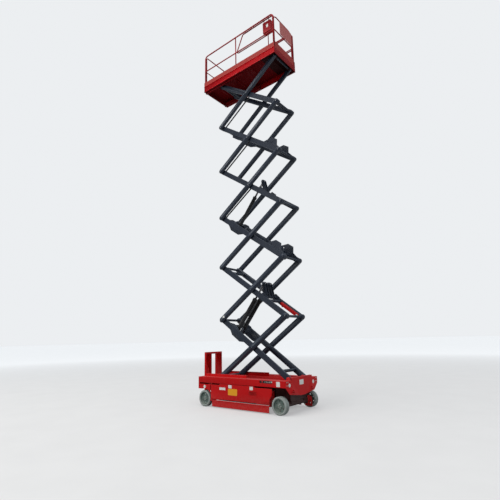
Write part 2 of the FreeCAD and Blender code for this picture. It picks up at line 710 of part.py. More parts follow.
def rim(x, side):
    """A dished steel rim with its hub, bored from inside for the spindle."""
    inner, outer = TYRE_INNER_Y + RIM_INSET, TRACK_OUTER - RIM_INSET
    face = outer - RIM_DISH
    back, cap = face - RIM_PLATE, face + HUB_CAP_HEIGHT
    wall, bore = RIM_RADIUS - RIM_WALL, SPINDLE_RADIUS + PIN_FIT
    bore_end = face + RIM_INSET
    outline = [
        (bore, face - HUB_LENGTH), (HUB_RADIUS, face - HUB_LENGTH), (HUB_RADIUS + RIM_WALL, back),
        (wall - RIM_FILLET, back), (wall, back - RIM_FILLET), (wall, inner), (RIM_RADIUS, inner),
        (RIM_RADIUS, outer), (wall, outer), (wall - RIM_FILLET, face), (HUB_RADIUS + RIM_FILLET, face),
        (HUB_RADIUS, cap - 2), (HUB_CAP_RADIUS, cap), (0, cap), (0, bore_end), (bore, bore_end),
    ]
    body = revolve_y(outline, x, AXLE_Z)
    reach = (HUB_RADIUS + RIM_RADIUS) / 2
    for turn in range(RIM_HOLES):
        angle = 2 * math.pi * (turn + 0.5) / RIM_HOLES
        hole_x, hole_z = x + reach * math.cos(angle), AXLE_Z + reach * math.sin(angle)
        body = body.cut(rod_y(hole_x, hole_z, RIM_HOLE_RADIUS, back - 1, face + 1))
    return on_side(body, side)


def spindle(x):
    """A wheel spindle and its brake drum on the far side."""
    end = TRACK_OUTER - SPINDLE_END
    drum_face = end - HUB_LENGTH - SIDE_GAP
    return [
        rod_y(x, AXLE_Z, SPINDLE_RADIUS, KINGPIN_Y, end + 1),
        rod_y(x, AXLE_Z, DRUM_RADIUS, drum_face - DRUM_LENGTH, drum_face),
    ]


def axle_pads(x):
    """The upright plates that seat an axle beam under its column."""
    y = COLUMN_HALF_Y - AXLE_PAD_INSET
    top = AXLE_Z + AXLE_HALF_DEPTH + AXLE_PAD_HEIGHT
    return both_sides(box(x - AXLE_PAD_HALF_X, x + AXLE_PAD_HALF_X, y - AXLE_PAD_HALF_Y,
                          y + AXLE_PAD_HALF_Y, AXLE_Z, top))


def axle_beam(x, reach):
    """A square beam across the chassis at axle height."""
    return box(x - AXLE_HALF_WIDTH, x + AXLE_HALF_WIDTH, -reach, reach,
               AXLE_Z - AXLE_HALF_DEPTH, AXLE_Z + AXLE_HALF_DEPTH)


def rear_axle():
    """The fixed rear axle: a box beam, its two end plates and both spindles."""
    x, half = REAR_AXLE_X, AXLE_PLATE_HALF
    plate = box(x - half, x + half, KINGPIN_Y - AXLE_PLATE / 2, KINGPIN_Y + AXLE_PLATE / 2,
                AXLE_Z - half, AXLE_Z + half)
    pieces = [axle_beam(x, KINGPIN_Y)] + axle_pads(x)
    for piece in spindle(x) + [plate]:
        pieces += both_sides(piece)
    return fuse(pieces)


def ear_heights(up):
    """The face of a fork ear next to the knuckle and its other face, above or below the axle."""
    face = AXLE_Z + up * (KNUCKLE_HALF_HEIGHT + SIDE_GAP - 1)
    return face, face + up * EAR_THICKNESS


def steer_axle():
    """The steered axle: a box beam whose ends fork into a top and a bottom ear for each kingpin."""
    x = STEER_AXLE_X
    reach = KINGPIN_Y - FORK_SETBACK
    root = reach - FORK_WEB
    pieces = [axle_beam(x, reach)] + axle_pads(x)
    for up in (-1, 1):
        face, back = ear_heights(up)
        ear = box(x - EAR_RADIUS, x + EAR_RADIUS, root, KINGPIN_Y, face, back)
        ear = ear.fuse(rod_z(x, KINGPIN_Y, EAR_RADIUS, face, back))
        web = box(x - EAR_RADIUS, x + EAR_RADIUS, root, reach - 1, AXLE_Z + up * FORK_WEB, back)
        pieces += both_sides(ear) + both_sides(web)
    axle = fuse(pieces)
    low, high = ear_heights(-1)[1] - 1, ear_heights(1)[1] + 1
    for side in (NEAR, FAR):
        axle = axle.cut(rod_z(x, side * KINGPIN_Y, KINGPIN_RADIUS + PIN_FIT, low, high))
    return axle


def steer_arm_end(side):
    """Where the tie rod meets a knuckle's arm."""
    return STEER_AXLE_X - STEER_ARM_BACK, side * (KINGPIN_Y - STEER_ARM_IN)


def yoke():
    """The plate behind a steered wheel, cut out for the axle's lower ear to pass."""
    x, y = STEER_AXLE_X, KINGPIN_Y - YOKE_INSET
    ear_top, ear_bottom = ear_heights(-1)
    plate = box(x - YOKE_REAR_REACH, x + YOKE_FRONT_REACH, y, y + YOKE_THICKNESS, YOKE_LOW_Z, YOKE_HIGH_Z)
    return plate.cut(box(x - YOKE_WINDOW_HALF, x + YOKE_WINDOW_HALF, y - 1, y + YOKE_THICKNESS + 1,
                         ear_bottom - SIDE_GAP, ear_top + SIDE_GAP))


def knuckle(side):
    """A steering knuckle: kingpin barrel, yoke, spindle and the arm that the tie rod moves."""
    x, low, root = STEER_AXLE_X, STEER_ARM_Z, STEER_ARM_ROOT
    high = low + STEER_ARM_THICKNESS
    reach = KNUCKLE_HALF_HEIGHT + EAR_THICKNESS + 2
    end_x, end_y = steer_arm_end(FAR)
    tip = TIE_END_RADIUS - 1
    corners = [V(x, KINGPIN_Y - root, low), V(end_x, end_y - tip, low), V(end_x, end_y + tip, low),
               V(x, KINGPIN_Y + root, low)]
    arm = Part.Face(Part.makePolygon(corners + corners[:1])).extrude(V(0, 0, STEER_ARM_THICKNESS))
    pieces = [
        rod_z(x, KINGPIN_Y, EAR_RADIUS - 1, AXLE_Z - KNUCKLE_HALF_HEIGHT, AXLE_Z + KNUCKLE_HALF_HEIGHT),
        rod_z(x, KINGPIN_Y, KINGPIN_RADIUS, AXLE_Z - reach, AXLE_Z + reach),
        arm,
        rod_z(end_x, end_y, tip, low, high),
        yoke(),
    ]
    body = fuse(pieces + spindle(x))
    if side == NEAR:
        body = body.cut(rod_z(end_x, end_y, TIE_PIN_RADIUS + PIN_FIT, low - 1, high + 1))
    return on_side(body, side)


def tie_rod():
    """The rod between the knuckles' arms: pinned on the near side, open at its far end."""
    x, y = steer_arm_end(FAR)
    top = STEER_ARM_Z - SIDE_GAP + 1
    axis_z = top - TIE_ROD_RADIUS
    pieces = [rod_y(x, axis_z, TIE_ROD_RADIUS, -y, y)]
    for end in (-y, y):
        pieces.append(rod_z(x, end, TIE_END_RADIUS, axis_z - TIE_ROD_RADIUS, top))
    pieces.append(rod_z(x, -y, TIE_PIN_RADIUS, axis_z, STEER_ARM_Z + STEER_ARM_THICKNESS + 4))
    pieces.append(rod_z(x, y, TIE_PIN_RADIUS, axis_z, STEER_ARM_Z - 1))
    return fuse(pieces)


# Chassis


def side_band(side):
    """A side skin: the band under the deck and the fender arched over the rear wheel."""
    rear, front = CHASSIS_REAR_X, CHASSIS_FRONT_X
    inner, outer = SIDE_HALF_WIDTH - SKIN, SIDE_HALF_WIDTH
    outline = [
        (rear, DECK_Z), (front, DECK_Z), (front, BAND_BOTTOM_Z), (FENDER_FRONT_X, BAND_BOTTOM_Z),
        (FENDER_FRONT_X, FENDER_LOW_Z), (REAR_AXLE_X, FENDER_LOW_Z), (REAR_AXLE_X, FENDER_REAR_Z),
        (rear, FENDER_REAR_Z),
    ]
    skin = plate_y(outline, inner, outer)
    skin = skin.cut(rod_y(REAR_AXLE_X, AXLE_Z, ARCH_RADIUS, inner - 1, outer + 1))
    skin = skin.cut(box(rear + FENDER_NECK, FENDER_FRONT_X + 1, inner - 1, outer + 1,
                        FENDER_TOP_Z, BAND_BOTTOM_Z))
    stay = box(FENDER_STAY_X, FENDER_STAY_X + 2 * SKIN, inner - 4 * SKIN, inner + 1,
               FENDER_TOP_Z - 4 * SKIN, BAND_BOTTOM_Z + 4 * SKIN)
    skin = skin.fuse(stay)
    if side == NEAR:
        skin = skin.cut(box(PANEL_REAR_X, PANEL_FRONT_X, inner - 1, outer + 1, PANEL_BOTTOM_Z, DECK_Z - SKIN))
    return on_side(skin, side)


def tie_lug(x0, x1, hole_x):
    """A tie-down lug on the far side, and the tool that bores it across."""
    inner, outer, half = TIE_LUG_Y, TIE_LUG_Y + TIE_LUG_THICKNESS, TIE_LUG_HALF_HEIGHT
    lug = box(x0, x1, inner, outer, TIE_LUG_Z - half, TIE_LUG_Z + half)
    return lug, rod_y(hole_x, TIE_LUG_Z, TIE_HOLE_RADIUS, inner - 1, outer + 1)


def hinge_brackets():
    """The far side's brackets and pins for the tray and for the pothole guard."""
    lug_low, lug_high = GUARD_HINGE_Z - GUARD_TUBE_RADIUS, TRAY_BOTTOM_Z - SIDE_GAP
    top = TRAY_TOP_Z + SIDE_GAP
    rear, front = TRAY_HINGE_X - LUG_HALF_LENGTH, TRAY_HINGE_X + LUG_HALF_LENGTH
    root = BELLY_HALF_WIDTH - SKIN / 2
    nose = GUARD_FRONT_X + SKIN
    post = BEAM_OUTER_Y - LUG_HALF_LENGTH
    pieces = [
        box(rear, front + 3, root, TRAY_OUTER_Y, lug_low, lug_high),
        box(nose, nose + LUG_HALF_LENGTH + 4, root, TRAY_OUTER_Y, lug_low, lug_high),
        box(rear, front, post, TRAY_OUTER_Y, top, top + HINGE_PLATE),
        box(rear, front, post, BEAM_OUTER_Y, top, BEAM_BOTTOM_Z + 1),
        rod_z(TRAY_HINGE_X, TRAY_HINGE_Y, HINGE_PIN_RADIUS, lug_high - 1, lug_high + HINGE_BOSS_HEIGHT),
        rod_z(TRAY_HINGE_X, TRAY_HINGE_Y, HINGE_PIN_RADIUS, TRAY_TOP_Z - HINGE_BOSS_HEIGHT + 4, top + 2),
    ]
    guard_y = GUARD_Y + GUARD_THICKNESS / 2
    for x0, x1 in ((front + 2, GUARD_REAR_X + GUARD_PIN_LENGTH), (GUARD_FRONT_X - GUARD_PIN_LENGTH, nose + 1)):
        pieces.append(rod_x(guard_y, GUARD_HINGE_Z, GUARD_PIN_RADIUS, x0, x1))
    return pieces


def pivot_brackets():
    """The far side's brackets and pin for the lowest inner arm."""
    x, z, half = BASE_PIVOT_X, BASE_PIVOT_Z, PIVOT_BRACKET_HALF
    inner = INNER_BAR_FACE - COLLAR_LENGTH - SIDE_GAP - PIVOT_BRACKET + 1
    outer = INNER_BAR_OUTER + SIDE_GAP
    pieces = [rod_y(x, z, PIVOT_RADIUS, inner + 1, outer + PIVOT_BRACKET - 1)]
    for face in (inner, outer):
        pieces.append(box(x - half, x + half, face, face + PIVOT_BRACKET, BEAM_BOTTOM_Z, z))
        pieces.append(rod_y(x, z, PIVOT_BOSS_RADIUS, face, face + PIVOT_BRACKET))
    return pieces


def side_frame():
    """The far half's long members: main beam, deck edge and belly side."""
    rear, front = CHASSIS_REAR_X, CHASSIS_FRONT_X
    side = BELLY_HALF_WIDTH
    return [
        box(rear, front, BEAM_INNER_Y, BEAM_OUTER_Y, BEAM_BOTTOM_Z, TRACK_Z),
        box(rear, front, BEAM_OUTER_Y, SIDE_HALF_WIDTH, DECK_Z - SKIN, DECK_Z),
        box(TRACK_FRONT_X, front, BEAM_OUTER_Y - BEAM_WALL, BEAM_OUTER_Y + 1, TRACK_Z - 1, DECK_Z),
        box(BELLY_REAR_X, BELLY_FRONT_X, side - SKIN, side, BELLY_BOTTOM_Z, BEAM_BOTTOM_Z + 2 * SKIN),
        box(BELLY_REAR_X, BELLY_FRONT_X, side - SKIN, BEAM_OUTER_Y, BEAM_BOTTOM_Z, BEAM_BOTTOM_Z + SKIN),
    ]


def front_end():
    """The front panel, deepest in the middle, and the lip folded back over its top."""
    front, side = CHASSIS_FRONT_X, SIDE_HALF_WIDTH
    half = [(side, DECK_Z), (side, END_FLANK_Z), END_SHOULDER, END_KEEL]
    outline = half + [(-y, z) for y, z in reversed(half)]
    wide = LIP_HALF_WIDTH
    return [
        plate_x(outline, front - SKIN, front),
        box(front - SKIN, front, -wide, wide, DECK_Z - SKIN, LIP_TOP_Z),
        box(front - LIP_DEPTH, front, -wide, wide, LIP_TOP_Z - SKIN, LIP_TOP_Z),
    ]


def cross_frame():
    """What joins both halves: rear panel, belly floor, cross members and axle columns."""
    rear, belly = CHASSIS_REAR_X, BELLY_HALF_WIDTH
    reach, half = BEAM_INNER_Y + 4, CROSS_MEMBER_HALF
    pieces = [
        box(rear, rear + SKIN, -SIDE_HALF_WIDTH, SIDE_HALF_WIDTH, FENDER_REAR_Z, DECK_Z),
        box(BELLY_REAR_X, BELLY_FRONT_X, -belly, belly, BELLY_BOTTOM_Z, BELLY_BOTTOM_Z + BELLY_FLOOR),
        box(BELLY_REAR_X, BELLY_REAR_X + SKIN, -belly, belly, BELLY_BOTTOM_Z, BEAM_BOTTOM_Z + 4 * SKIN),
    ]
    for x in (rear + half + SKIN, BELLY_REAR_X, 0.0, BELLY_FRONT_X - half - SKIN, BASE_PIVOT_X):
        pieces.append(box(x - half, x + half, -reach, reach, BEAM_BOTTOM_Z, CROSS_MEMBER_TOP_Z))
    top = BEAM_BOTTOM_Z + COLUMN_TIE
    for x in (REAR_AXLE_X, STEER_AXLE_X):
        low = AXLE_Z + AXLE_HALF_DEPTH + AXLE_PAD_HEIGHT
        pieces.append(box(x - COLUMN_HALF_X, x + COLUMN_HALF_X, -COLUMN_HALF_Y, COLUMN_HALF_Y, low, top))
        pieces.append(box(x - COLUMN_HALF_X, x + COLUMN_HALF_X, -reach, reach, BEAM_BOTTOM_Z, top))
    return pieces


def chassis_frame():
    """The welded chassis: beams, belly, skins, end panels, axle columns and brackets."""
    halves = side_frame() + hinge_brackets() + pivot_brackets()
    holes = []
    for x0, x1, hole_x in (
        (CHASSIS_FRONT_X - 1, OVERALL_HALF_LENGTH, OVERALL_HALF_LENGTH - TIE_FRONT_REACH),
        (CHASSIS_REAR_X - TIE_REAR_LENGTH, CHASSIS_REAR_X + 1, CHASSIS_REAR_X - TIE_REAR_REACH),
    ):
        lug, hole = tie_lug(x0, x1, hole_x)
        halves.append(lug)
        holes += both_sides(hole)
    pieces = [side_band(NEAR), side_band(FAR)] + front_end() + cross_frame()
    for half in halves:
        pieces += both_sides(half)
    return fuse(pieces).cut(Part.makeCompound(holes))


def roller_tracks():
    """The channels that keep the lowest rollers on the main beams."""
    rear, top = CHASSIS_REAR_X + SKIN, TRACK_TOP_Z + TRACK_FLANGE
    web = box(rear, TRACK_FRONT_X, BEAM_OUTER_Y - BEAM_WALL, BEAM_OUTER_Y, TRACK_Z, top)
    flange = box(rear, TRACK_FRONT_X, BEAM_INNER_Y, BEAM_OUTER_Y, TRACK_TOP_Z, top)
    return Part.makeCompound(both_sides(fuse([web, flange])))


def tray(side):
    """A swing-out equipment tray: the door panel, its floor and its end walls."""
    rear, front, nose = TRAY_REAR_X, TRAY_FRONT_X, TRAY_NOSE_X
    low, high = TRAY_BOTTOM_Z, TRAY_TOP_Z
    crest_rear, crest_front, crest_z = TRAY_CREST
    slot_rear, slot_front, slot_z = TRAY_SLOT
    outline = [
        (rear, low), (slot_rear, low), (slot_rear, slot_z), (slot_front, slot_z), (slot_front, low),
        (front, low), (front, TRAY_NOSE_Z[0]), (nose, TRAY_NOSE_Z[1]), (nose, high),
        (crest_front + TRAY_RAMP, high), (crest_front, crest_z), (crest_rear, crest_z),
        (crest_rear - TRAY_RAMP, high), (rear, high),
    ]
    face, inner = TRAY_OUTER_Y - TRAY_SKIN, TRAY_INNER_Y
    wall_top = high - TRAY_WALL_DROP
    pieces = [
        plate_y(outline, face, TRAY_OUTER_Y),
        box(rear, front, inner, face + 1, TRAY_FLOOR_Z, TRAY_FLOOR_Z + SKIN),
        box(rear, rear + SKIN, inner, face + 1, low, wall_top),
        box(front - SKIN, front, inner, face + 1, low, wall_top),
        box(rear, front, inner, inner + SKIN, low, low + TRAY_LIP),
    ]
    for z0, z1 in ((low, low + HINGE_BOSS_HEIGHT), (high - HINGE_BOSS_HEIGHT, high)):
        pieces.append(rod_z(TRAY_HINGE_X, TRAY_HINGE_Y - 4, HINGE_BOSS_RADIUS, z0, z1))
        pieces.append(rod_z(TRAY_HINGE_X, TRAY_HINGE_Y, HINGE_BOSS_RADIUS - 3, z0, z1))
    bore = rod_z(TRAY_HINGE_X, TRAY_HINGE_Y, HINGE_PIN_RADIUS + PIN_FIT, low - 1, high + 1)
    return on_side(fuse(pieces).cut(bore), side)


def pothole_guard(side):
    """A guard plate that drops under the tray when the platform is raised."""
    guard_y = GUARD_Y + GUARD_THICKNESS / 2
    pieces = [
        box(GUARD_REAR_X, GUARD_FRONT_X, GUARD_Y, GUARD_Y + GUARD_THICKNESS, GUARD_BOTTOM_Z, GUARD_HINGE_Z),
        box(GUARD_REAR_X, GUARD_FRONT_X, GUARD_Y - GUARD_LIP, GUARD_Y + 1, GUARD_BOTTOM_Z, GUARD_BOTTOM_Z + 8),
        rod_x(guard_y, GUARD_HINGE_Z, GUARD_TUBE_RADIUS, GUARD_REAR_X, GUARD_FRONT_X),
    ]
    body = fuse(pieces)
    for x0, x1 in ((GUARD_REAR_X - 1, GUARD_REAR_X + 36), (GUARD_FRONT_X - 36, GUARD_FRONT_X + 1)):
        body = body.cut(rod_x(guard_y, GUARD_HINGE_Z, GUARD_PIN_RADIUS + PIN_FIT, x0, x1))
    return on_side(body, side)


def tray_block(rear, front, height):
    """A closed block that stands on the far tray's floor."""
    low = TRAY_FLOOR_Z + SKIN
    inner, outer = TRAY_INNER_Y + SKIN + BLOCK_GAP, TRAY_OUTER_Y - TRAY_SKIN - BLOCK_GAP
    return box(rear, front, inner, outer, low, low + height)


def battery_pack():
    """The traction batteries, one block in the far tray."""
    return tray_block(BATTERY_REAR_X, BATTERY_FRONT_X, BATTERY_HEIGHT)


def power_unit():
    """The pump, motor and tank, one block in the near tray."""
    return mirrored(tray_block(POWER_UNIT_REAR_X, POWER_UNIT_FRONT_X, POWER_UNIT_HEIGHT))


def ground_controls():
    """The control panel behind its window in the near side skin, hung under the deck edge."""
    face, back = SIDE_HALF_WIDTH - SKIN - PANEL_INSET, BEAM_OUTER_Y + PANEL_BACK_GAP
    low, high = PANEL_BOTTOM_Z - PANEL_INSET, DECK_Z - SKIN
    panel = box(PANEL_REAR_X, PANEL_FRONT_X, back, face, low, high)
    return mirrored(panel)


def ladder():
    """The entry ladder: two folded posts, a top bar and treads, stood off the rear panel."""
    rear = -OVERALL_HALF_LENGTH
    front = rear + LADDER_DEPTH
    sheet, low, high = LADDER_SHEET, LADDER_BOTTOM_Z, LADDER_TOP_Z
    outer, inner = LADDER_HALF_WIDTH, LADDER_HALF_WIDTH - LADDER_POST_WIDTH
    halves = [
        box(rear, rear + sheet, inner, outer, low, high),
        box(rear, front, outer - sheet, outer, low, high),
        box(rear, front, inner, inner + sheet, low, high),
    ]
    for z in LADDER_STAYS_Z:
        halves.append(box(front - 4, CHASSIS_REAR_X, outer - LADDER_STAY_WIDTH, outer,
                          z - LADDER_TREAD_HALF, z + LADDER_TREAD_HALF))
    pieces = [box(rear, front, -outer, outer, high - LADDER_HEAD, high)]
    for half in halves:
        pieces += both_sides(half)
    for z in LADDER_TREADS_Z:
        pieces.append(box(rear, front, -outer, outer, z - LADDER_TREAD_HALF, z + LADDER_TREAD_HALF))
    body = fuse(pieces)
    body.translate(V(0, LADDER_CENTRE_Y, 0))
    return body


# Platform


def platform_frame():
    """The platform's deck, its side channels, cross members, roller tracks and fixed lugs."""
    rear, front, half = PLATFORM_REAR_X, PLATFORM_FRONT_X, PLATFORM_HALF_WIDTH
    low, lip_top = PLATFORM_Z - UNDERSIDE_DROP, DECK_TOP_Z - CHANNEL_TOP_DROP
    track, track_low = PLATFORM_Z + ROLLER_RADIUS + RUNNING_GAP, PLATFORM_Z - PLATFORM_TRACK_DROP
    web = BEAM_OUTER_Y - BEAM_WALL
    lug_inner, lug_outer = INNER_BAR_FACE + PLATFORM_LUG_INSET, INNER_BAR_OUTER - PLATFORM_LUG_INSET - 2
    lug_rear, lug_front = BASE_PIVOT_X - PLATFORM_LUG_RADIUS, BASE_PIVOT_X + PLATFORM_LUG_RADIUS
    halves = [
        box(rear, front, half - SKIN, half, low, DECK_TOP_Z + TOE_BOARD_HEIGHT),
        box(rear, front, half - SIDE_FLANGE, half + CHANNEL_LIP, low, low + CHANNEL_LIP),
        box(rear, front, half - 1, half + CHANNEL_LIP, lip_top - CHANNEL_LIP, lip_top),
        box(rear, TRACK_FRONT_X, BEAM_INNER_Y, half - SKIN + 1, track, track + TRACK_FLANGE),
        box(rear, TRACK_FRONT_X, web - PLATFORM_TRACK_WEB, web, track_low, track + 1),
        box(rear, TRACK_FRONT_X, BEAM_INNER_Y, web, track_low, track_low + SKIN),
        box(lug_rear, lug_front, lug_inner, lug_outer, PLATFORM_Z, DECK_TOP_Z - SKIN / 2),
        rod_y(BASE_PIVOT_X, PLATFORM_Z, PLATFORM_LUG_RADIUS, lug_inner, lug_outer),
    ]
    pieces = [box(rear, front, -half + 1, half - 1, DECK_TOP_Z - SKIN, DECK_TOP_Z)]
    for piece in halves:
        pieces += both_sides(piece)
    for x0 in (rear, front - SKIN):
        pieces.append(box(x0, x0 + SKIN, -half, half, low, DECK_TOP_Z))
    reach, pitch = half - SKIN + 1, (front - rear) / MEMBERS
    for number in range(MEMBERS):
        x = rear + (number + 0.5) * pitch
        pieces.append(box(x - MEMBER_HALF_WIDTH, x + MEMBER_HALF_WIDTH, -reach, reach,
                          DECK_TOP_Z - MEMBER_DEPTH, DECK_TOP_Z - SKIN / 2))
    body = fuse(pieces)
    for side in (NEAR, FAR):
        body = body.cut(rod_y(BASE_PIVOT_X, PLATFORM_Z, PIVOT_RADIUS + PIN_FIT,
                              side * INNER_BAR_FACE, side * INNER_BAR_OUTER))
    return body


def guard_rail(side):
    """A side guard rail: one bent loop with a middle post, a middle rail and its sockets."""
    y, thin, foot = RAIL_Y, RAIL_RADIUS - THINNER, DECK_TOP_Z
    corners = [(RAIL_REAR_X, y, foot), (RAIL_REAR_X, y, RAIL_TOP_Z), (RAIL_FRONT_X, y, RAIL_TOP_Z),
               (RAIL_FRONT_X, y, foot)]
    pieces = [
        tube_path(corners, RAIL_RADIUS, RAIL_BEND),
        rod_z(MID_POST_X, y, thin, foot, RAIL_TOP_Z),
        rod_x(y, MID_RAIL_Z, thin, RAIL_REAR_X, RAIL_FRONT_X),
    ]
    for x0, x1 in (
        (RAIL_REAR_X - SOCKET_REAR, RAIL_REAR_X + SOCKET_HALF_LENGTH),
        (MID_POST_X - SOCKET_HALF_LENGTH, MID_POST_X + SOCKET_HALF_LENGTH),
        (RAIL_FRONT_X - SOCKET_HALF_LENGTH, RAIL_FRONT_X + SOCKET_REAR),
    ):
        pieces.append(box(x0, x1, y - SOCKET_HALF_WIDTH, y + SOCKET_HALF_WIDTH, foot, foot + SOCKET_HEIGHT))
    if side == NEAR:
        return mirrored(fuse(pieces))
    for height in GATE_RING_HEIGHTS:
        low = DECK_TOP_Z + height
        ring = GATE_RADIUS + GATE_RING_WALL
        pieces.append(rod_z(RAIL_REAR_X, GATE_HINGE_Y, ring, low, low + GATE_RING_LENGTH))
    bore = rod_z(RAIL_REAR_X, GATE_HINGE_Y, GATE_RADIUS + PIN_FIT, DECK_TOP_Z, RAIL_TOP_Z)
    return fuse(pieces).cut(bore)


def gate():
    """The entry gate across the rear end, hinged on the far side."""
    x, thin = RAIL_REAR_X, GATE_RADIUS - THINNER
    low = DECK_TOP_Z + GATE_BOTTOM
    free = -(RAIL_Y - RAIL_RADIUS - 2 * SIDE_GAP - GATE_RADIUS)
    loop = [(x, GATE_HINGE_Y, low), (x, GATE_HINGE_Y, RAIL_TOP_Z), (x, free, RAIL_TOP_Z), (x, free, low)]
    pieces = [tube_path(loop, GATE_RADIUS, GATE_BEND)]
    for z in (low + 2 * GATE_RADIUS, MID_RAIL_Z):
        pieces.append(rod_y(x, z, thin, free, GATE_HINGE_Y))
    return fuse(pieces)


def extension_deck():
    """The roll-out deck that lies on the main deck, with its own toe board at the front."""
    rear, front, half = EXTENSION_REAR_X, EXTENSION_FRONT_X, EXTENSION_HALF_WIDTH
    low = DECK_TOP_Z + RUNNING_GAP
    pieces = [
        box(rear, front, -half, half, low, low + EXTENSION_THICKNESS),
        box(front - SKIN, front, -half, half, low, low + EXTENSION_TOE_HEIGHT),
        box(rear, rear + EXTENSION_THICKNESS, -half, half, low, low + EXTENSION_REAR_LIP),
    ]
    pieces += both_sides(box(rear, front, half - EXTENSION_EDGE, half, low, low + EXTENSION_EDGE_HEIGHT))
    return fuse(pieces)


def extension_rails():
    """The guard rails of the roll-out deck: two side loops, a front hoop and a front rail."""
    base = DECK_TOP_Z + RUNNING_GAP + EXTENSION_THICKNESS
    front, y, radius = EXTENSION_RAIL_X, EXTENSION_RAIL_Y, EXTENSION_RAIL_RADIUS
    thin, overlap = radius - THINNER, 2 * radius
    loop = [(BRACE_HIGH_X + overlap, y, RAIL_TOP_Z), (front, y, RAIL_TOP_Z), (front, y, base)]
    brace = [(BRACE_HIGH_X + 2 * overlap, y, RAIL_TOP_Z), (BRACE_HIGH_X, y, RAIL_TOP_Z),
             (BRACE_LOW_X, y, MID_RAIL_Z), (front, y, MID_RAIL_Z)]
    pieces = both_sides(tube_path(loop, radius, EXTENSION_BEND))
    pieces += both_sides(tube_path(brace, thin, BRACE_BEND))
    pieces += both_sides(rod_z(SHORT_POST_X, y, thin - THINNER, base, MID_RAIL_Z))
    leg = RAIL_TOP_Z - HOOP_BEND - overlap
    hoop = [(front, -y, leg), (front, -y, RAIL_TOP_Z), (front, y, RAIL_TOP_Z), (front, y, leg)]
    pieces.append(tube_path(hoop, thin, HOOP_BEND))
    pieces.append(rod_y(front, MID_RAIL_Z + FRONT_RAIL_RISE, thin, -y, y))
    return fuse(pieces)


def front_board():
    """The flat board on the front rails."""
    y0, y1, above_mid, below_top = BOARD
    x = EXTENSION_RAIL_X + EXTENSION_RAIL_RADIUS - THINNER
    return box(x, x + BOARD_THICKNESS, y0, y1, MID_RAIL_Z + above_mid, RAIL_TOP_Z - below_top)


def control_box():
    """The platform control box, hung on the near rail of the roll-out deck by two hooks."""
    y, radius, thick = -EXTENSION_RAIL_Y, EXTENSION_RAIL_RADIUS, HOOK_THICKNESS
    inner, crown = y + radius, RAIL_TOP_Z + radius
    front = PLATFORM_FRONT_X - CONTROL_BOX_SETBACK
    rear = front - CONTROL_BOX_LENGTH
    shell = box(rear, front, inner + thick - 1, inner + CONTROL_BOX_DEPTH,
                RAIL_TOP_Z - CONTROL_BOX_DROP[1], RAIL_TOP_Z - CONTROL_BOX_DROP[0])
    pieces = [shell]
    for x in (rear + HOOK_INSET, front - HOOK_INSET - HOOK_WIDTH):
        pieces.append(box(x, x + HOOK_WIDTH, inner, inner + thick, RAIL_TOP_Z - HOOK_DROP, crown + thick))
        pieces.append(box(x, x + HOOK_WIDTH, y - radius, inner + thick, crown, crown + thick))
    return fuse(pieces)


def build():
    """Every piece of the lift, by name."""
    nodes = {
        "chassis_frame": chassis_frame(),
        "roller_tracks": roller_tracks(),
        "rear_axle": rear_axle(),
        "steer_axle": steer_axle(),
        "tie_rod": tie_rod(),
        "battery_pack": battery_pack(),
        "power_unit": power_unit(),
        "ground_controls": ground_controls(),
        "ladder": ladder(),
        "base_rollers": rollers(1, False),
        "top_rollers": rollers(STAGES, True),
        "lower_barrels": lift_barrels(1, LOWER_BARREL_RADIUS, LOWER_EYES),
        "lower_rods": lift_rods(1, LOWER_EYES),
        "upper_barrel": lift_barrels(3, UPPER_BARREL_RADIUS, UPPER_EYES),
        "upper_rod": lift_rods(3, UPPER_EYES),
        "maintenance_bar": maintenance_bar(),
        "platform_frame": platform_frame(),
        "gate": gate(),
        "extension_deck": extension_deck(),
        "extension_rails": extension_rails(),
        "front_board": front_board(),
        "control_box": control_box(),
    }
    for stage in range(1, STAGES + 1):
        nodes[f"inner_arm_{stage}"] = inner_arm(stage)
        nodes[f"outer_arm_{stage}"] = outer_arm(stage)
    for name, side in (("near", NEAR), ("far", FAR)):
        nodes[f"steer_knuckle_{name}"] = knuckle(side)
        nodes[f"tray_{name}"] = tray(side)
        nodes[f"pothole_guard_{name}"] = pothole_guard(side)
        nodes[f"guard_rail_{name}"] = guard_rail(side)
        for end, x in (("front", STEER_AXLE_X), ("rear", REAR_AXLE_X)):
            nodes[f"tyre_{end}_{name}"] = tyre(x, side)
            nodes[f"rim_{end}_{name}"] = rim(x, side)
    return nodes


def main():
    """Writes one STEP file for each named piece."""
    os.makedirs("parts", exist_ok=True)
    for name, shape in sorted(build().items()):
        solids = len(shape.Solids)
        print(f"{name:22s} solids {solids} volume {shape.Volume / 1e6:9.2f} litres valid {shape.isValid()}")
        shape.exportStep(f"parts/{name}.step")


main()
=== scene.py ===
"""Dresses the scissor lift: its finishes and fittings, and the floor, the lights and the camera."""

import json
import logging
import math
from dataclasses import dataclass
from enum import Enum
from typing import Any, Optional, Sequence, Union

import bmesh
import bpy
from mathutils import Matrix, Vector

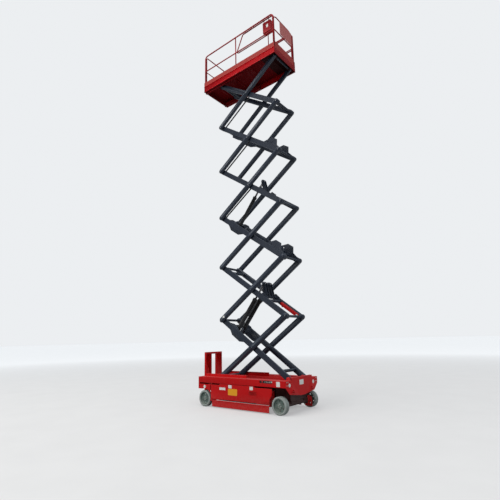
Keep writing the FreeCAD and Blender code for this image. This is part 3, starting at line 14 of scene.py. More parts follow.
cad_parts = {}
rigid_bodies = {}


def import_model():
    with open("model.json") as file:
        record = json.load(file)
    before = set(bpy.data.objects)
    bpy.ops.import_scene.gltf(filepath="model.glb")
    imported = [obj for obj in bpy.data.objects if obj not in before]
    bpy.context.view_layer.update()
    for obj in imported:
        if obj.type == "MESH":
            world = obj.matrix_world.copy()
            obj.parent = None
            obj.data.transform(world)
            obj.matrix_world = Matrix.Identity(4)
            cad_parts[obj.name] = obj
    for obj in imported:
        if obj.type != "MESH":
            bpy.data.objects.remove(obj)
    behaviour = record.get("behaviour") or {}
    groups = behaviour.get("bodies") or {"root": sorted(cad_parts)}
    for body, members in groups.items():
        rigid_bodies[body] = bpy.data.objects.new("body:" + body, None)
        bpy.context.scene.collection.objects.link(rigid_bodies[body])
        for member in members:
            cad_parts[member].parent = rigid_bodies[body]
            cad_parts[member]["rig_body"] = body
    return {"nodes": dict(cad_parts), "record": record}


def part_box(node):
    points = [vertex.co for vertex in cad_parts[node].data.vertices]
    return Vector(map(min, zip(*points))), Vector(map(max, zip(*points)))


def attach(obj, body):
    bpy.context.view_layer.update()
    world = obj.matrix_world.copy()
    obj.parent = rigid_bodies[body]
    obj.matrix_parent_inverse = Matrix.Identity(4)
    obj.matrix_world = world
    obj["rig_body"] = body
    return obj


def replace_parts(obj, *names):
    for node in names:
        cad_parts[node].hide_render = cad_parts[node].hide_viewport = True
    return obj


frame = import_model()

LOG = logging.getLogger("scissor_lift")
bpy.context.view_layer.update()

Colour = tuple[float, float, float]
Point = Union[Vector, Sequence[float]]
Outline = Sequence[tuple[float, float]]
Options = Optional[dict]

ORIGIN = (0, 0, 0)
AHEAD = (1, 0, 0)
FARWARD = (0, 1, 0)
NEARWARD = (0, -1, 0)
UP = (0, 0, 1)
NEAR, FAR = -1, 1
SIDES = {"near": NEAR, "far": FAR}
STAGES = 6
OPENING_CLEARANCE = 0.010


def opening_floor(name: str) -> float:
    """The height of the floor under an opening of the record, in metres: the opening is kept clear of it."""
    boxes = {entry["name"]: entry["box_m"] for entry in frame["record"]["physics"]["openings"]}
    return boxes[name][0][2] - OPENING_CLEARANCE


class Level:
    """A socket of a node tree that sums can be written on, such as 1 - mask * 0.5."""

    def __init__(self, tools: "TreeTools", socket: bpy.types.NodeSocket) -> None:
        """Wraps a socket.

        Args:
            tools: The tree that the socket belongs to.
            socket: The output that is read.
        """
        self.tools = tools
        self.socket = socket

    def _sum(self, operation: str, first: Any, second: Any = None, clamp: bool = False) -> "Level":
        """Adds one Math node.

        Args:
            operation: The Math node's operation.
            first: A number or a Level.
            second: A number or a Level, where the operation takes two.
            clamp: Whether the result is kept from 0 to 1.

        Returns:
            The Math node's result.
        """
        values = {0: first} if second is None else {0: first, 1: second}
        settings = {"operation": operation, "use_clamp": clamp}
        return self.tools.node("ShaderNodeMath", settings, values)

    def __add__(self, other: Any) -> "Level":
        """Adds a number or a Level."""
        return self._sum("ADD", self, other)

    __radd__ = __add__

    def __sub__(self, other: Any) -> "Level":
        """Takes a number or a Level away."""
        return self._sum("SUBTRACT", self, other)

    def __rsub__(self, other: Any) -> "Level":
        """Takes this away from a number."""
        return self._sum("SUBTRACT", other, self)

    def __mul__(self, other: Any) -> "Level":
        """Multiplies by a number or a Level."""
        return self._sum("MULTIPLY", self, other)

    __rmul__ = __mul__

    def __truediv__(self, other: Any) -> "Level":
        """Divides by a number or a Level."""
        return self._sum("DIVIDE", self, other)

    def floored(self) -> "Level":
        """The whole number below this."""
        return self._sum("FLOOR", self)

    def remainder(self, other: Any) -> "Level":
        """What is left of this after a division."""
        return self._sum("MODULO", self, other)

    def kept(self) -> "Level":
        """This, kept from 0 to 1."""
        return self._sum("ADD", self, 0.0, clamp=True)

    def ramp(self, low: float, high: float) -> "Level":
        """Rises from 0 at low to 1 at high, and stays there.

        Args:
            low: Where the rise starts.
            high: Where it ends.

        Returns:
            The share of the rise.
        """
        return ((self - low) / (high - low)).kept()


class TreeTools:
    """Makes nodes in one node tree."""

    def __init__(self, tree: bpy.types.NodeTree) -> None:
        """Starts from an empty tree.

        Args:
            tree: The tree to fill.
        """
        self.tree = tree
        tree.nodes.clear()

    def make(self, kind: str, settings: Options = None, sockets: Options = None) -> bpy.types.Node:
        """Makes a node, sets it up and then feeds its sockets.

        Args:
            kind: The node's type.
            settings: Its own settings by name; stops are a ramp's (place, colour) pairs.
            sockets: Values, Levels or outputs, by the input's name or number.

        Returns:
            The node.
        """
        node = self.tree.nodes.new(kind)
        for key, value in (settings or {}).items():
            if key == "stops":
                self._set_stops(node.color_ramp, value)
            else:
                setattr(node, key, value)
        for key, value in (sockets or {}).items():
            target = node.inputs[key]
            source = value.socket if isinstance(value, Level) else value
            if isinstance(source, bpy.types.NodeSocket):
                self.tree.links.new(source, target)
            else:
                target.default_value = source
        return node

    def node(self, kind: str, settings: Options = None, sockets: Options = None,
             output: Union[int, str] = 0) -> Level:
        """Makes a node as make does, and reads one of its outputs.

        Args:
            kind: The node's type.
            settings: Its own settings.
            sockets: What its inputs take.
            output: The output's number or name.

        Returns:
            The output as a Level.
        """
        return Level(self, self.make(kind, settings, sockets).outputs[output])

    def vector(self, **parts: Any) -> Level:
        """A vector of the parts that are named, X, Y or Z, with 0 for the others."""
        return self.node("ShaderNodeCombineXYZ", None, parts)

    def seen_by(self, *rays: str) -> Level:
        """Tells the rays that see a surface from those that it lights.

        Args:
            *rays: The kinds of ray, such as Camera.

        Returns:
            1 for those kinds and 0 for all others.
        """
        path = self.make("ShaderNodeLightPath")
        first, *rest = [Level(self, path.outputs[f"Is {ray} Ray"]) for ray in rays]
        return sum(rest, first).kept()

    @staticmethod
    def _set_stops(ramp: bpy.types.ColorRamp, stops: Sequence[tuple]) -> None:
        """Gives a colour ramp its stops.

        Args:
            ramp: The ramp.
            stops: (place, colour) pairs in order.
        """
        while len(ramp.elements) < len(stops):
            ramp.elements.new(1.0)
        for element, (place, colour) in zip(ramp.elements, stops):
            element.position = place
            element.color = (*colour, 1.0)


def rgba(colour: Colour) -> tuple[float, float, float, float]:
    """A colour with full alpha."""
    return (*colour, 1.0)


class Surface(TreeTools):
    """The shader of one finish: a Principled BSDF and the patterns that feed it."""

    def __init__(self, name: str) -> None:
        """Makes the material.

        Args:
            name: The finish's name.
        """
        self.material = bpy.data.materials.new(name)
        self.material.use_nodes = True
        super().__init__(self.material.node_tree)
        self.place = self.node("ShaderNodeTexCoord", None, None, "Object")
        self.bsdf = self.make("ShaderNodeBsdfPrincipled")
        self.make("ShaderNodeOutputMaterial", None, {"Surface": self.bsdf.outputs[0]})

    def noise(self, scale: float, detail: float, stretch: Optional[Colour] = None,
              roughness: float = 0.5) -> Level:
        """Noise on object coordinates.

        Args:
            scale: How many features there are in a metre.
            detail: How many finer layers it has.
            stretch: The scale along each axis, where it isn't even.
            roughness: How strong the finer layers are.

        Returns:
            The noise, from 0 to 1.
        """
        place = self.place
        if stretch:
            place = self.node("ShaderNodeMapping", None, {"Vector": place, "Scale": stretch})
        values = {"Vector": place, "Scale": scale, "Detail": detail, "Roughness": roughness}
        return self.node("ShaderNodeTexNoise", None, values)

    def cells(self, scale: float) -> Level:
        """The distance to the nearest point of a scatter with so many points along a metre."""
        return self.node("ShaderNodeTexVoronoi", {"feature": "F1"}, {"Vector": self.place, "Scale": scale})

    def along(self, axis: str) -> Level:
        """The place along an axis of the part, in metres: the height over the ground is along Z."""
        return self.node("ShaderNodeSeparateXYZ", None, {0: self.place}, axis)

    def upward(self) -> Level:
        """How far a surface faces up: 1 on a floor, 0 on a wall."""
        normal = self.node("ShaderNodeNewGeometry", None, None, "Normal")
        return self.node("ShaderNodeSeparateXYZ", None, {0: normal}, "Z").kept()

    def edges(self, reach: float) -> Level:
        """How near a point is to a sharp edge, from 0 on a flat face.

        Args:
            reach: How far from the edge it starts, in metres.

        Returns:
            The nearness, about 0.3 on a right-angled edge.
        """
        rounded = self.node("ShaderNodeBevel", {"samples": 4}, {"Radius": reach})
        flat = self.node("ShaderNodeNewGeometry", None, None, "Normal")
        agree = self.make("ShaderNodeVectorMath", {"operation": "DOT_PRODUCT"}, {0: rounded, 1: flat})
        return 1 - Level(self, agree.outputs["Value"])

    def mix(self, share: Any, first: Any, second: Any) -> Level:
        """Blends two colours.

        Args:
            share: The second colour's share.
            first: A colour or a Level.
            second: A colour or a Level.

        Returns:
            The blend.
        """
        colours = [value if isinstance(value, Level) else rgba(value) for value in (first, second)]
        node = self.make("ShaderNodeMix", {"data_type": "RGBA"}, {0: share, 6: colours[0], 7: colours[1]})
        return Level(self, node.outputs[2])

    def bump(self, height: Level, depth: float, strength: float) -> Level:
        """Turns a height into a normal.

        Args:
            height: The height pattern.
            depth: How deep it goes, in metres.
            strength: The share of it that is used.

        Returns:
            The normal.
        """
        return self.node("ShaderNodeBump", None, {"Height": height, "Distance": depth, "Strength": strength})

    def feed(self, **sockets: Any) -> bpy.types.Material:
        """Sets the Principled BSDF's sockets.

        Args:
            **sockets: Values by socket name, with a low line for each space.

        Returns:
            The finished material.
        """
        for name, value in sockets.items():
            target = self.bsdf.inputs[name.replace("_", " ")]
            if isinstance(value, Level):
                self.tree.links.new(value.socket, target)
            else:
                target.default_value = rgba(value) if isinstance(value, tuple) and len(value) == 3 else value
        return self.material


@dataclass(frozen=True)
class Zone:
    """A box of the part where an enamel is darkened by painted shade or more faded; a bound of None is open."""

    tint: Colour
    share: float
    x: tuple[Optional[float], Optional[float]] = (None, None)
    y: tuple[Optional[float], Optional[float]] = (None, None)
    z: tuple[Optional[float], Optional[float]] = (None, None)
    edge: float = 0.012

    def mask(self, surface: Surface) -> Any:
        """How much of the tint there is at a point.

        Args:
            surface: The finish that asks.

        Returns:
            The share, from 0 outside the box.
        """
        share: Any = self.share
        for axis, (low, high) in (("X", self.x), ("Y", self.y), ("Z", self.z)):
            if low is not None:
                share = surface.along(axis).ramp(low - self.edge, low + self.edge) * share
            if high is not None:
                share = (1 - surface.along(axis).ramp(high - self.edge, high + self.edge)) * share
        return share


@dataclass(frozen=True)
class Paint:
    """Sprayed enamel on steel, a little chalked, with dust on top, and worn and chipped along its edges; on the
    arm enamel the light film on top is also a painted sky sheen.
    """

    name: str
    colour: Colour
    faded: Colour
    chip: Colour = (0.050, 0.040, 0.036)
    # dust and dust_share also serve for a painted sky sheen on upward faces where a finish asks for it, as the
    # arm enamel does.
    dust: Colour = (0.36, 0.33, 0.29)
    roughness: float = 0.42
    specular: float = 0.16
    dust_share: float = 0.26
    wear: Colour = (0.22, 0.20, 0.19)
    wear_share: float = 0.35
    wear_reach: float = 0.004
    wear_scale: float = 14.0
    splash: tuple[float, float] = (0.05, 0.40)
    cloud_scale: float = 1.7
    grain_scale: float = 38.0
    streak_scale: float = 7.0
    streak_stretch: Colour = (3.0, 3.0, 0.35)
    chip_scale: float = 24.0
    chip_edge: tuple[float, float] = (0.74, 0.755)
    relief: float = 0.0004
    zones: tuple[Zone, ...] = ()

    def material(self) -> bpy.types.Material:
        """Builds the enamel's shader."""
        s = Surface(self.name)
        clouds = s.noise(self.cloud_scale, 4.0)
        fine = s.noise(self.grain_scale, 4.0)
        streaks = s.noise(self.streak_scale, 3.0, self.streak_stretch)
        body = s.mix(clouds.ramp(0.35, 0.75) * 0.6 + fine * 0.15, self.colour, self.faded)
        # The zones lay their tints over the body colour: painted shade under the chassis and the platform, and
        # fade on the toe boards.
        for zone in self.zones:
            body = s.mix(zone.mask(s), body, zone.tint)
        # Film on upward faces: settled dust, and on the arm enamel also a painted sky sheen on the tops of the
        # arms.
        film = s.upward().ramp(0.3, 1.0) * (0.45 + clouds.ramp(0.4, 0.7) * 0.55)
        splash = (1 - s.along("Z").ramp(*self.splash)) * fine.ramp(0.35, 0.7)
        runs = streaks.ramp(0.56, 0.80) * 0.30
        dirt = ((film + splash + runs) * self.dust_share).kept()
        dust_and_sheen_coat = s.mix(dirt, body, self.dust)
        worn = s.edges(self.wear_reach).ramp(0.03, 0.22) * s.noise(self.wear_scale, 5.0).ramp(0.38, 0.62)
        rubbed = s.mix(worn * self.wear_share, dust_and_sheen_coat, self.wear)
        chips = s.noise(self.chip_scale, 6.0, roughness=0.7).ramp(*self.chip_edge)
        rough = (self.roughness + clouds * 0.10 + dirt * 0.5 + chips * 0.2).kept()
        return s.feed(Base_Color=s.mix(chips, rubbed, self.chip), Roughness=rough,
                      Normal=s.bump(fine * 0.25 - chips, self.relief, 0.6), Specular_IOR_Level=self.specular)


@dataclass(frozen=True)
class Rubber:
    """Pale non-marking rubber, scuffed and dirty on its tread."""

    name: str
    colour: Colour
    dirt: Colour
    specular: float = 0.3
    cloud_scale: float = 9.0
    grain_scale: float = 160.0
    scuff_scale: float = 30.0
    scuff_stretch: Colour = (1.0, 0.3, 1.0)
    relief: float = 0.0006

    def material(self) -> bpy.types.Material:
        """Builds the rubber's shader."""
        s = Surface(self.name)
        clouds = s.noise(self.cloud_scale, 5.0)
        grains = s.noise(self.grain_scale, 2.0)
        scuffs = s.noise(self.scuff_scale, 5.0, self.scuff_stretch).ramp(0.52, 0.72)
        share = (clouds.ramp(0.35, 0.8) * 0.55 + scuffs * 0.45).kept()
        return s.feed(Base_Color=s.mix(share, self.colour, self.dirt), Specular_IOR_Level=self.specular,
                      Roughness=(0.74 + grains * 0.2).kept(),
                      Normal=s.bump(grains + scuffs * 0.5, self.relief, 0.7))


@dataclass(frozen=True)
class BareMetal:
    """Machined or plated steel with fine drawing marks and an oil film."""

    name: str
    colour: Colour
    roughness: float
    stain: Colour = (0.16, 0.14, 0.11)
    stain_share: float = 0.35
    mark_scale: float = 240.0
    cloud_scale: float = 11.0
    relief: float = 0.0001

    def material(self) -> bpy.types.Material:
        """Builds the metal's shader."""
        s = Surface(self.name)
        marks = s.noise(self.mark_scale, 2.0)
        stain = s.noise(self.cloud_scale, 4.0).ramp(0.55, 0.78) * self.stain_share
        return s.feed(Base_Color=s.mix(stain, self.colour, self.stain), Metallic=(1 - stain).kept(),
                      Roughness=(self.roughness + marks * 0.10 + stain * 0.4).kept(),
                      Normal=s.bump(marks, self.relief, 0.5))


@dataclass(frozen=True)
class Moulded:
    """Moulded plastic or hose rubber with a fine grain and dust in it."""

    name: str
    colour: Colour
    roughness: float = 0.55
    grain_scale: float = 420.0
    dust: Colour = (0.30, 0.28, 0.25)
    dust_share: float = 0.18
    cloud_scale: float = 6.0
    relief: float = 0.0003

    def material(self) -> bpy.types.Material:
        """Builds the plastic's shader."""
        s = Surface(self.name)
        clouds = s.noise(self.cloud_scale, 4.0)
        film = (s.upward() * 0.6 + clouds.ramp(0.5, 0.8)) * self.dust_share
        return s.feed(Base_Color=s.mix(film.kept(), self.colour, self.dust),
                      Roughness=(self.roughness + clouds * 0.15).kept(),
                      Normal=s.bump(s.cells(self.grain_scale), self.relief, 0.4))


DECK_TOP = opening_floor("platform_floor")
DECK_EDGE = DECK_TOP - 0.004
CHANNEL_WEBS = (-0.508, 0.508)
# Painted shade: low down between the chassis sides the red enamel is turned near-black, for the shade under the
# front panel and the deck.
UNDERBODY_SHADE = Zone((0.006, 0.004, 0.004), 0.95, x=(-1.276, 1.355), y=(-0.455, 0.455), z=(None, 0.556))
TOE_BOARDS = Zone((0.34, 0.085, 0.070), 0.62, z=(DECK_TOP + 0.002, None), edge=0.004)
# Painted shade: the platform's underside between its channel webs is darkened.
PLATFORM_BELLY_SHADE = Zone((0.150, 0.006, 0.009), 0.75, y=CHANNEL_WEBS, z=(None, DECK_EDGE), edge=0.003)
# Painted shade: the underside of the platform's front part is turned almost black.
PLATFORM_NOSE_SHADE = Zone((0.010, 0.007, 0.007), 0.85, (0.75, 1.325), CHANNEL_WEBS, (None, DECK_EDGE), 0.003)


class Finish(Enum):
    """Every finish of the lift, by the name that its pieces ask for."""

    RED = Paint("red_enamel", (0.52, 0.0012, 0.0026), (0.50, 0.004, 0.006), dust_share=0.14, wear_share=0.25,
                zones=(UNDERBODY_SHADE,))
    PLATFORM = Paint("platform_enamel", (0.46, 0.0020, 0.0060), (0.44, 0.006, 0.010), specular=0.04,
                     dust_share=0.10, wear_share=0.15,
                     zones=(TOE_BOARDS, PLATFORM_BELLY_SHADE, PLATFORM_NOSE_SHADE))
    RAIL = Paint("rail_enamel", (0.33, 0.008, 0.014), (0.36, 0.030, 0.034), dust_share=0.16,
                 specular=0.08)
    # Painted sheen: the arm enamel's slate dust colour and large dust share lighten the arms' upward faces as a
    # sky reflection as well as dust.
    ARM = Paint("arm_enamel", (0.010, 0.016, 0.030), (0.018, 0.026, 0.044), (0.10, 0.07, 0.05),
                (0.16, 0.19, 0.23), roughness=0.36, dust_share=0.42, specular=0.26, wear=(0.14, 0.16, 0.19))
    DARK = Paint("dark_enamel", (0.016, 0.017, 0.020), (0.030, 0.030, 0.032), dust_share=0.25)
    RIM = Paint("rim_enamel", (0.080, 0.125, 0.110), (0.130, 0.180, 0.160), dust_share=0.35)
    BOARD = Paint("board_enamel", (0.50, 0.13, 0.12), (0.52, 0.18, 0.16), dust_share=0.2)
    YELLOW = Paint("yellow_plate", (0.78, 0.33, 0.012), (0.80, 0.38, 0.03), dust_share=0.15)
    WHITE = Paint("white_plate", (0.78, 0.78, 0.75), (0.70, 0.70, 0.66), dust_share=0.15)
    TYRE = Rubber("tyre_rubber", (0.35, 0.39, 0.37), (0.19, 0.19, 0.17))
    ZINC = BareMetal("zinc_plate", (0.62, 0.61, 0.57), 0.38)
    CHROME = BareMetal("rod_chrome", (0.26, 0.26, 0.27), 0.16, (0.06, 0.05, 0.04), 0.4)
    BLACK = Moulded("black_plastic", (0.020, 0.020, 0.022))
    HOSE = Moulded("hose_rubber", (0.014, 0.014, 0.015), 0.62, 600.0)
    NYLON = Moulded("roller_nylon", (0.50, 0.48, 0.42), 0.45)
    STOP_RED = Moulded("knob_red", (0.55, 0.012, 0.012), 0.30, dust_share=0.05)

    def __init__(self, recipe: Any) -> None:
        """Keeps the recipe; its material is made when it is first asked for."""
        self.recipe = recipe
        self.made: Optional[bpy.types.Material] = None

    @property
    def material(self) -> bpy.types.Material:
        """The finish's material."""
        if self.made is None:
            self.made = self.recipe.material()
        return self.made


SLOT_FINISH = {
    "red_paint": Finish.RED, "arm_paint": Finish.ARM, "dark_paint": Finish.DARK, "rim_paint": Finish.RIM,
    "tyre": Finish.TYRE, "plated_rod": Finish.CHROME, "roller_nylon": Finish.NYLON,
    "battery_case": Finish.BLACK, "control_case": Finish.BLACK, "board_paint": Finish.BOARD,
}
NODE_FINISH = {
    "guard_rail_near": Finish.RAIL, "guard_rail_far": Finish.RAIL, "gate": Finish.RAIL,
    "extension_rails": Finish.RAIL, "platform_frame": Finish.PLATFORM, "extension_deck": Finish.PLATFORM,
    "roller_tracks": Finish.RED, "control_box": Finish.RAIL,
}


class Form:
    """Gathers closed shapes into one mesh and puts it on a body."""

    def __init__(self, name: str) -> None:
        """Starts with nothing.

        Args:
            name: The piece's name.
        """
        self.name = name
        self.bm = bmesh.new()

    def block(self, low: Point, high: Point, edge: float = 0.0) -> "Form":
        """Adds a block between two corners.

        Args:
            low: Its lowest corner.
            high: Its highest corner.
            edge: The radius of its edges.

        Returns:
            The form.
        """
        low, high = Vector(low), Vector(high)
        matrix = Matrix.Translation((low + high) / 2) @ Matrix.Diagonal((*(high - low), 1.0))
        made = bmesh.ops.create_cube(self.bm, size=1.0, matrix=matrix)
        if edge > 0:
            edges = {e for vertex in made["verts"] for e in vertex.link_edges}
            bmesh.ops.bevel(self.bm, geom=list(edges), offset=edge, segments=2, affect="EDGES", profile=0.5)
        return self

    def lathe(self, outline: Outline, origin: Point = ORIGIN, axis: Point = UP, sides: int = 40) -> "Form":
        """Adds a turned shape.

        Args:
            outline: (radius, distance along the axis) points from one end of the axis to the other.
            origin: Where the distance is 0.
            axis: The axis, pointing the way the distance grows.
            sides: How many sides it has.

        Returns:
            The form.
        """
        turn = Vector(axis).to_track_quat("Z", "Y").to_matrix().to_4x4()
        matrix = Matrix.Translation(origin) @ turn
        rings = []
        for radius, along in outline:
            if radius < 1e-6:
                rings.append([self.bm.verts.new(matrix @ Vector((0, 0, along)))])
                continue
            ring = []
            for step in range(sides):
                angle = 2 * math.pi * step / sides
                spot = Vector((radius * math.cos(angle), radius * math.sin(angle), along))
                ring.append(self.bm.verts.new(matrix @ spot))
            rings.append(ring)
        for lower, upper in zip(rings, rings[1:]):
            for step in range(sides):
                after = (step + 1) % sides
                corners = [lower[step % len(lower)], lower[after % len(lower)],
                           upper[after % len(upper)], upper[step % len(upper)]]
                unique = list(dict.fromkeys(corners))
                if len(unique) > 2:
                    self.bm.faces.new(unique)
        return self

    def bar(self, start: Point, end: Point, radius: float, sides: int = 20, edge: float = 0.0) -> "Form":
        """Adds a round bar with closed ends.

        Args:
            start: The middle of one end.
            end: The middle of the other.
            radius: Its radius.
            sides: How many sides it has.
            edge: The chamfer at its ends.

        Returns:
            The form.
        """
        start, end = Vector(start), Vector(end)
        length = (end - start).length
        outline = [(0, 0), (radius - edge, 0), (radius, edge), (radius, length - edge),
                   (radius - edge, length), (0, length)]
        if edge == 0:
            outline = [(0, 0), (radius, 0), (radius, length), (0, length)]
        return self.lathe(outline, start, end - start, sides)

    def slab(self, wide: float, high: float, thick: float, corner: float, rim: float) -> "Form":
        """Adds a plate with round corners and a raised rim, lying on the XY plane about the origin.

        Args:
            wide: Its size along X.
            high: Its size along Y.
            thick: How far it stands up.
            corner: The radius of its corners.
            rim: How wide its rim is.

        Returns:
            The form.
        """
        def outline(inset: float, level: float) -> list[bmesh.types.BMVert]:
            """One ring of the plate's corners."""
            ring = []
            radius = max(corner - inset, 0.0005)
            for quarter, (sx, sy) in enumerate(((1, 1), (-1, 1), (-1, -1), (1, -1))):
                for step in range(5):
                    angle = math.pi / 2 * (quarter + step / 4)
                    x = sx * (wide / 2 - inset - radius) + radius * math.cos(angle)
                    y = sy * (high / 2 - inset - radius) + radius * math.sin(angle)
                    ring.append(self.bm.verts.new((x, y, level)))
            return ring

        rings = [outline(0, 0), outline(0, thick * 0.7), outline(thick * 0.3, thick),
                 outline(rim, thick), outline(rim + thick * 0.3, thick * 0.6)]
        for lower, upper in zip(rings, rings[1:]):
            for step, corner_vertex in enumerate(lower):
                after = (step + 1) % len(lower)
                self.bm.faces.new((corner_vertex, lower[after], upper[after], upper[step]))
        self.bm.faces.new(list(reversed(rings[0])))
        self.bm.faces.new(rings[-1])
        return self

    def prism(self, outline: Outline, low: float, high: float) -> "Form":
        """Adds a flat plate that stands across Y.

        Args:
            outline: Its corners as (x, z), in order.
            low: Its lower value of Y.
            high: Its higher value of Y.

        Returns:
            The form.
        """
        ends = [[self.bm.verts.new((x, y, z)) for x, z in outline] for y in (low, high)]
        faces = [self.bm.faces.new(ends[0]), self.bm.faces.new(ends[1])]
        for index in range(len(outline)):
            after = (index + 1) % len(outline)
            faces.append(self.bm.faces.new((ends[0][index], ends[0][after], ends[1][after], ends[1][index])))
        bmesh.ops.recalc_face_normals(self.bm, faces=faces)
        return self

    def add(self, mesh: bpy.types.Mesh, matrix: Matrix) -> "Form":
        """Adds a mesh that a tree has grown, and lets the mesh go.

        Args:
            mesh: The mesh.
            matrix: Where it goes.

        Returns:
            The form.
        """
        mesh.transform(matrix)
        self.bm.from_mesh(mesh)
        bpy.data.meshes.remove(mesh)
        return self

    def at(self, matrix: Matrix) -> "Form":
        """Moves all that the form holds so far."""
        self.bm.transform(matrix)
        return self

    def stamp(self, shape: "Form", matrix: Matrix) -> "Form":
        """Adds another form's shapes at a place, and lets that form go.

        Args:
            shape: The other form.
            matrix: Where it goes.

        Returns:
            The form.
        """
        mesh = bpy.data.meshes.new("stamp")
        shape.bm.to_mesh(mesh)
        shape.bm.free()
        return self.add(mesh, matrix)

    def piece(self, body: str, finish: Finish, smooth: float = 35.0) -> bpy.types.Object:
        """Makes the object, gives it its finish and sets it on its body.

        Args:
            body: The CAD body that it moves with.
            finish: Its finish.
            smooth: Edges sharper than this many degrees stay sharp.

        Returns:
            The object.
        """
        bmesh.ops.remove_doubles(self.bm, verts=self.bm.verts, dist=1e-5)
        bmesh.ops.recalc_face_normals(self.bm, faces=self.bm.faces)
        mesh = bpy.data.meshes.new(self.name)
        self.bm.to_mesh(mesh)
        self.bm.free()
        return set_on_body(self.name, mesh, body, finish, smooth)

def linked(name: str, data: bpy.types.ID) -> bpy.types.Object:
    """A new object in the scene, at the origin."""
    made = bpy.data.objects.new(name, data)
    bpy.context.scene.collection.objects.link(made)
    return made


def set_on_body(name: str, mesh: bpy.types.Mesh, body: str, finish: Finish,
                smooth: float = 35.0) -> bpy.types.Object:
    """Shades a mesh, makes it an object and lets it ride.

    Args:
        name: The object's name.
        mesh: The mesh, in the part's own frame.
        body: The CAD body that it moves with.
        finish: Its finish.
        smooth: Edges sharper than this many degrees stay sharp.

    Returns:
        The object.
    """
    mesh.materials.clear()
    mesh.materials.append(finish.material)
    for face in mesh.polygons:
        face.use_smooth = True
        face.material_index = 0
    mesh.set_sharp_from_angle(angle=math.radians(smooth))
    made = linked(name, mesh)
    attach(made, body)
    LOG.info("%s rides on %s in %s", name, body, finish.name)
    return made


class Grower(TreeTools):
    """A Geometry Nodes tree with named inputs, run once and kept as a plain mesh."""

    def __init__(self, name: str, inputs: dict[str, float]) -> None:
        """Makes the tree and its inputs.

        Args:
            name: The tree's name.
            inputs: Each input's name and the value it starts with; a whole number is a count.
        """
        tree = bpy.data.node_groups.new(name, "GeometryNodeTree")
        super().__init__(tree)
        self.keys: dict[str, str] = {}
        for label, value in inputs.items():
            kind = "NodeSocketInt" if isinstance(value, int) else "NodeSocketFloat"
            socket = tree.interface.new_socket(name=label, in_out="INPUT", socket_type=kind)
            socket.default_value = value
            self.keys[label] = socket.identifier
        tree.interface.new_socket(name="Geometry", in_out="OUTPUT", socket_type="NodeSocketGeometry")
        tree.interface.new_socket(name="Material", in_out="INPUT", socket_type="NodeSocketMaterial")
        self.keys["Material"] = tree.interface.items_tree["Material"].identifier
        self.entry = self.make("NodeGroupInput")

    def take(self, label: str) -> Level:
        """One of the tree's inputs."""
        return Level(self, self.entry.outputs[label])

    def grid(self) -> Level:
        """The points of a flat grid about the origin, by the inputs of GRID."""
        return self.node("GeometryNodeMeshGrid", None, {
            "Size X": self.take("Length"), "Size Y": self.take("Width"),
            "Vertices X": self.take("Columns"), "Vertices Y": self.take("Rows")})

    def circle(self, radius: Level) -> Level:
        """As many points about the Z axis as the input Count says."""
        return self.node("GeometryNodeMeshCircle", None, {"Vertices": self.take("Count"), "Radius": radius})

    def moved(self, shape: Level, **how: Level) -> Level:
        """A shape after a Translation, a Rotation or a Scale."""
        return self.node("GeometryNodeTransform", None, {"Geometry": shape, **how})

    def scatter(self, points: Level, shape: Level, **how: Level) -> Level:
        """A copy of a shape on each point, with a Rotation where one is given."""
        return self.node("GeometryNodeInstanceOnPoints", None, {"Points": points, "Instance": shape, **how})

    def close(self, instances: Level) -> "Grower":
        """Ends the tree in plain geometry with its material.

        Args:
            instances: What the tree has made.

        Returns:
            The tree.
        """
        real = self.node("GeometryNodeRealizeInstances", None, {0: instances})
        finish = self.take("Material")
        painted = self.node("GeometryNodeSetMaterial", None, {"Geometry": real, "Material": finish})
        self.make("NodeGroupOutput", None, {0: painted})
        return self

    def grow(self, finish: Finish, **values: float) -> bpy.types.Mesh:
        """Runs the tree.

        Args:
            finish: The finish of what it makes.
            **values: The inputs that differ from their first value, with a low line for each space.

        Returns:
            The result as a plain mesh.
        """
        holder = linked("growing", bpy.data.meshes.new("growing"))
        modifier = holder.modifiers.new("grow", "NODES")
        modifier.node_group = self.tree
        for label, value in values.items():
            modifier[self.keys[label.replace("_", " ")]] = value
        modifier[self.keys["Material"]] = finish.material
        evaluated = holder.evaluated_get(bpy.context.evaluated_depsgraph_get())
        mesh = bpy.data.meshes.new_from_object(evaluated)
        holder.modifiers.remove(modifier)
        bpy.data.objects.remove(holder)
        return mesh


GRID = {"Length": 1.0, "Width": 0.1, "Columns": 4, "Rows": 2}
BOLT = {"Head Radius": 0.006, "Sides": 6}


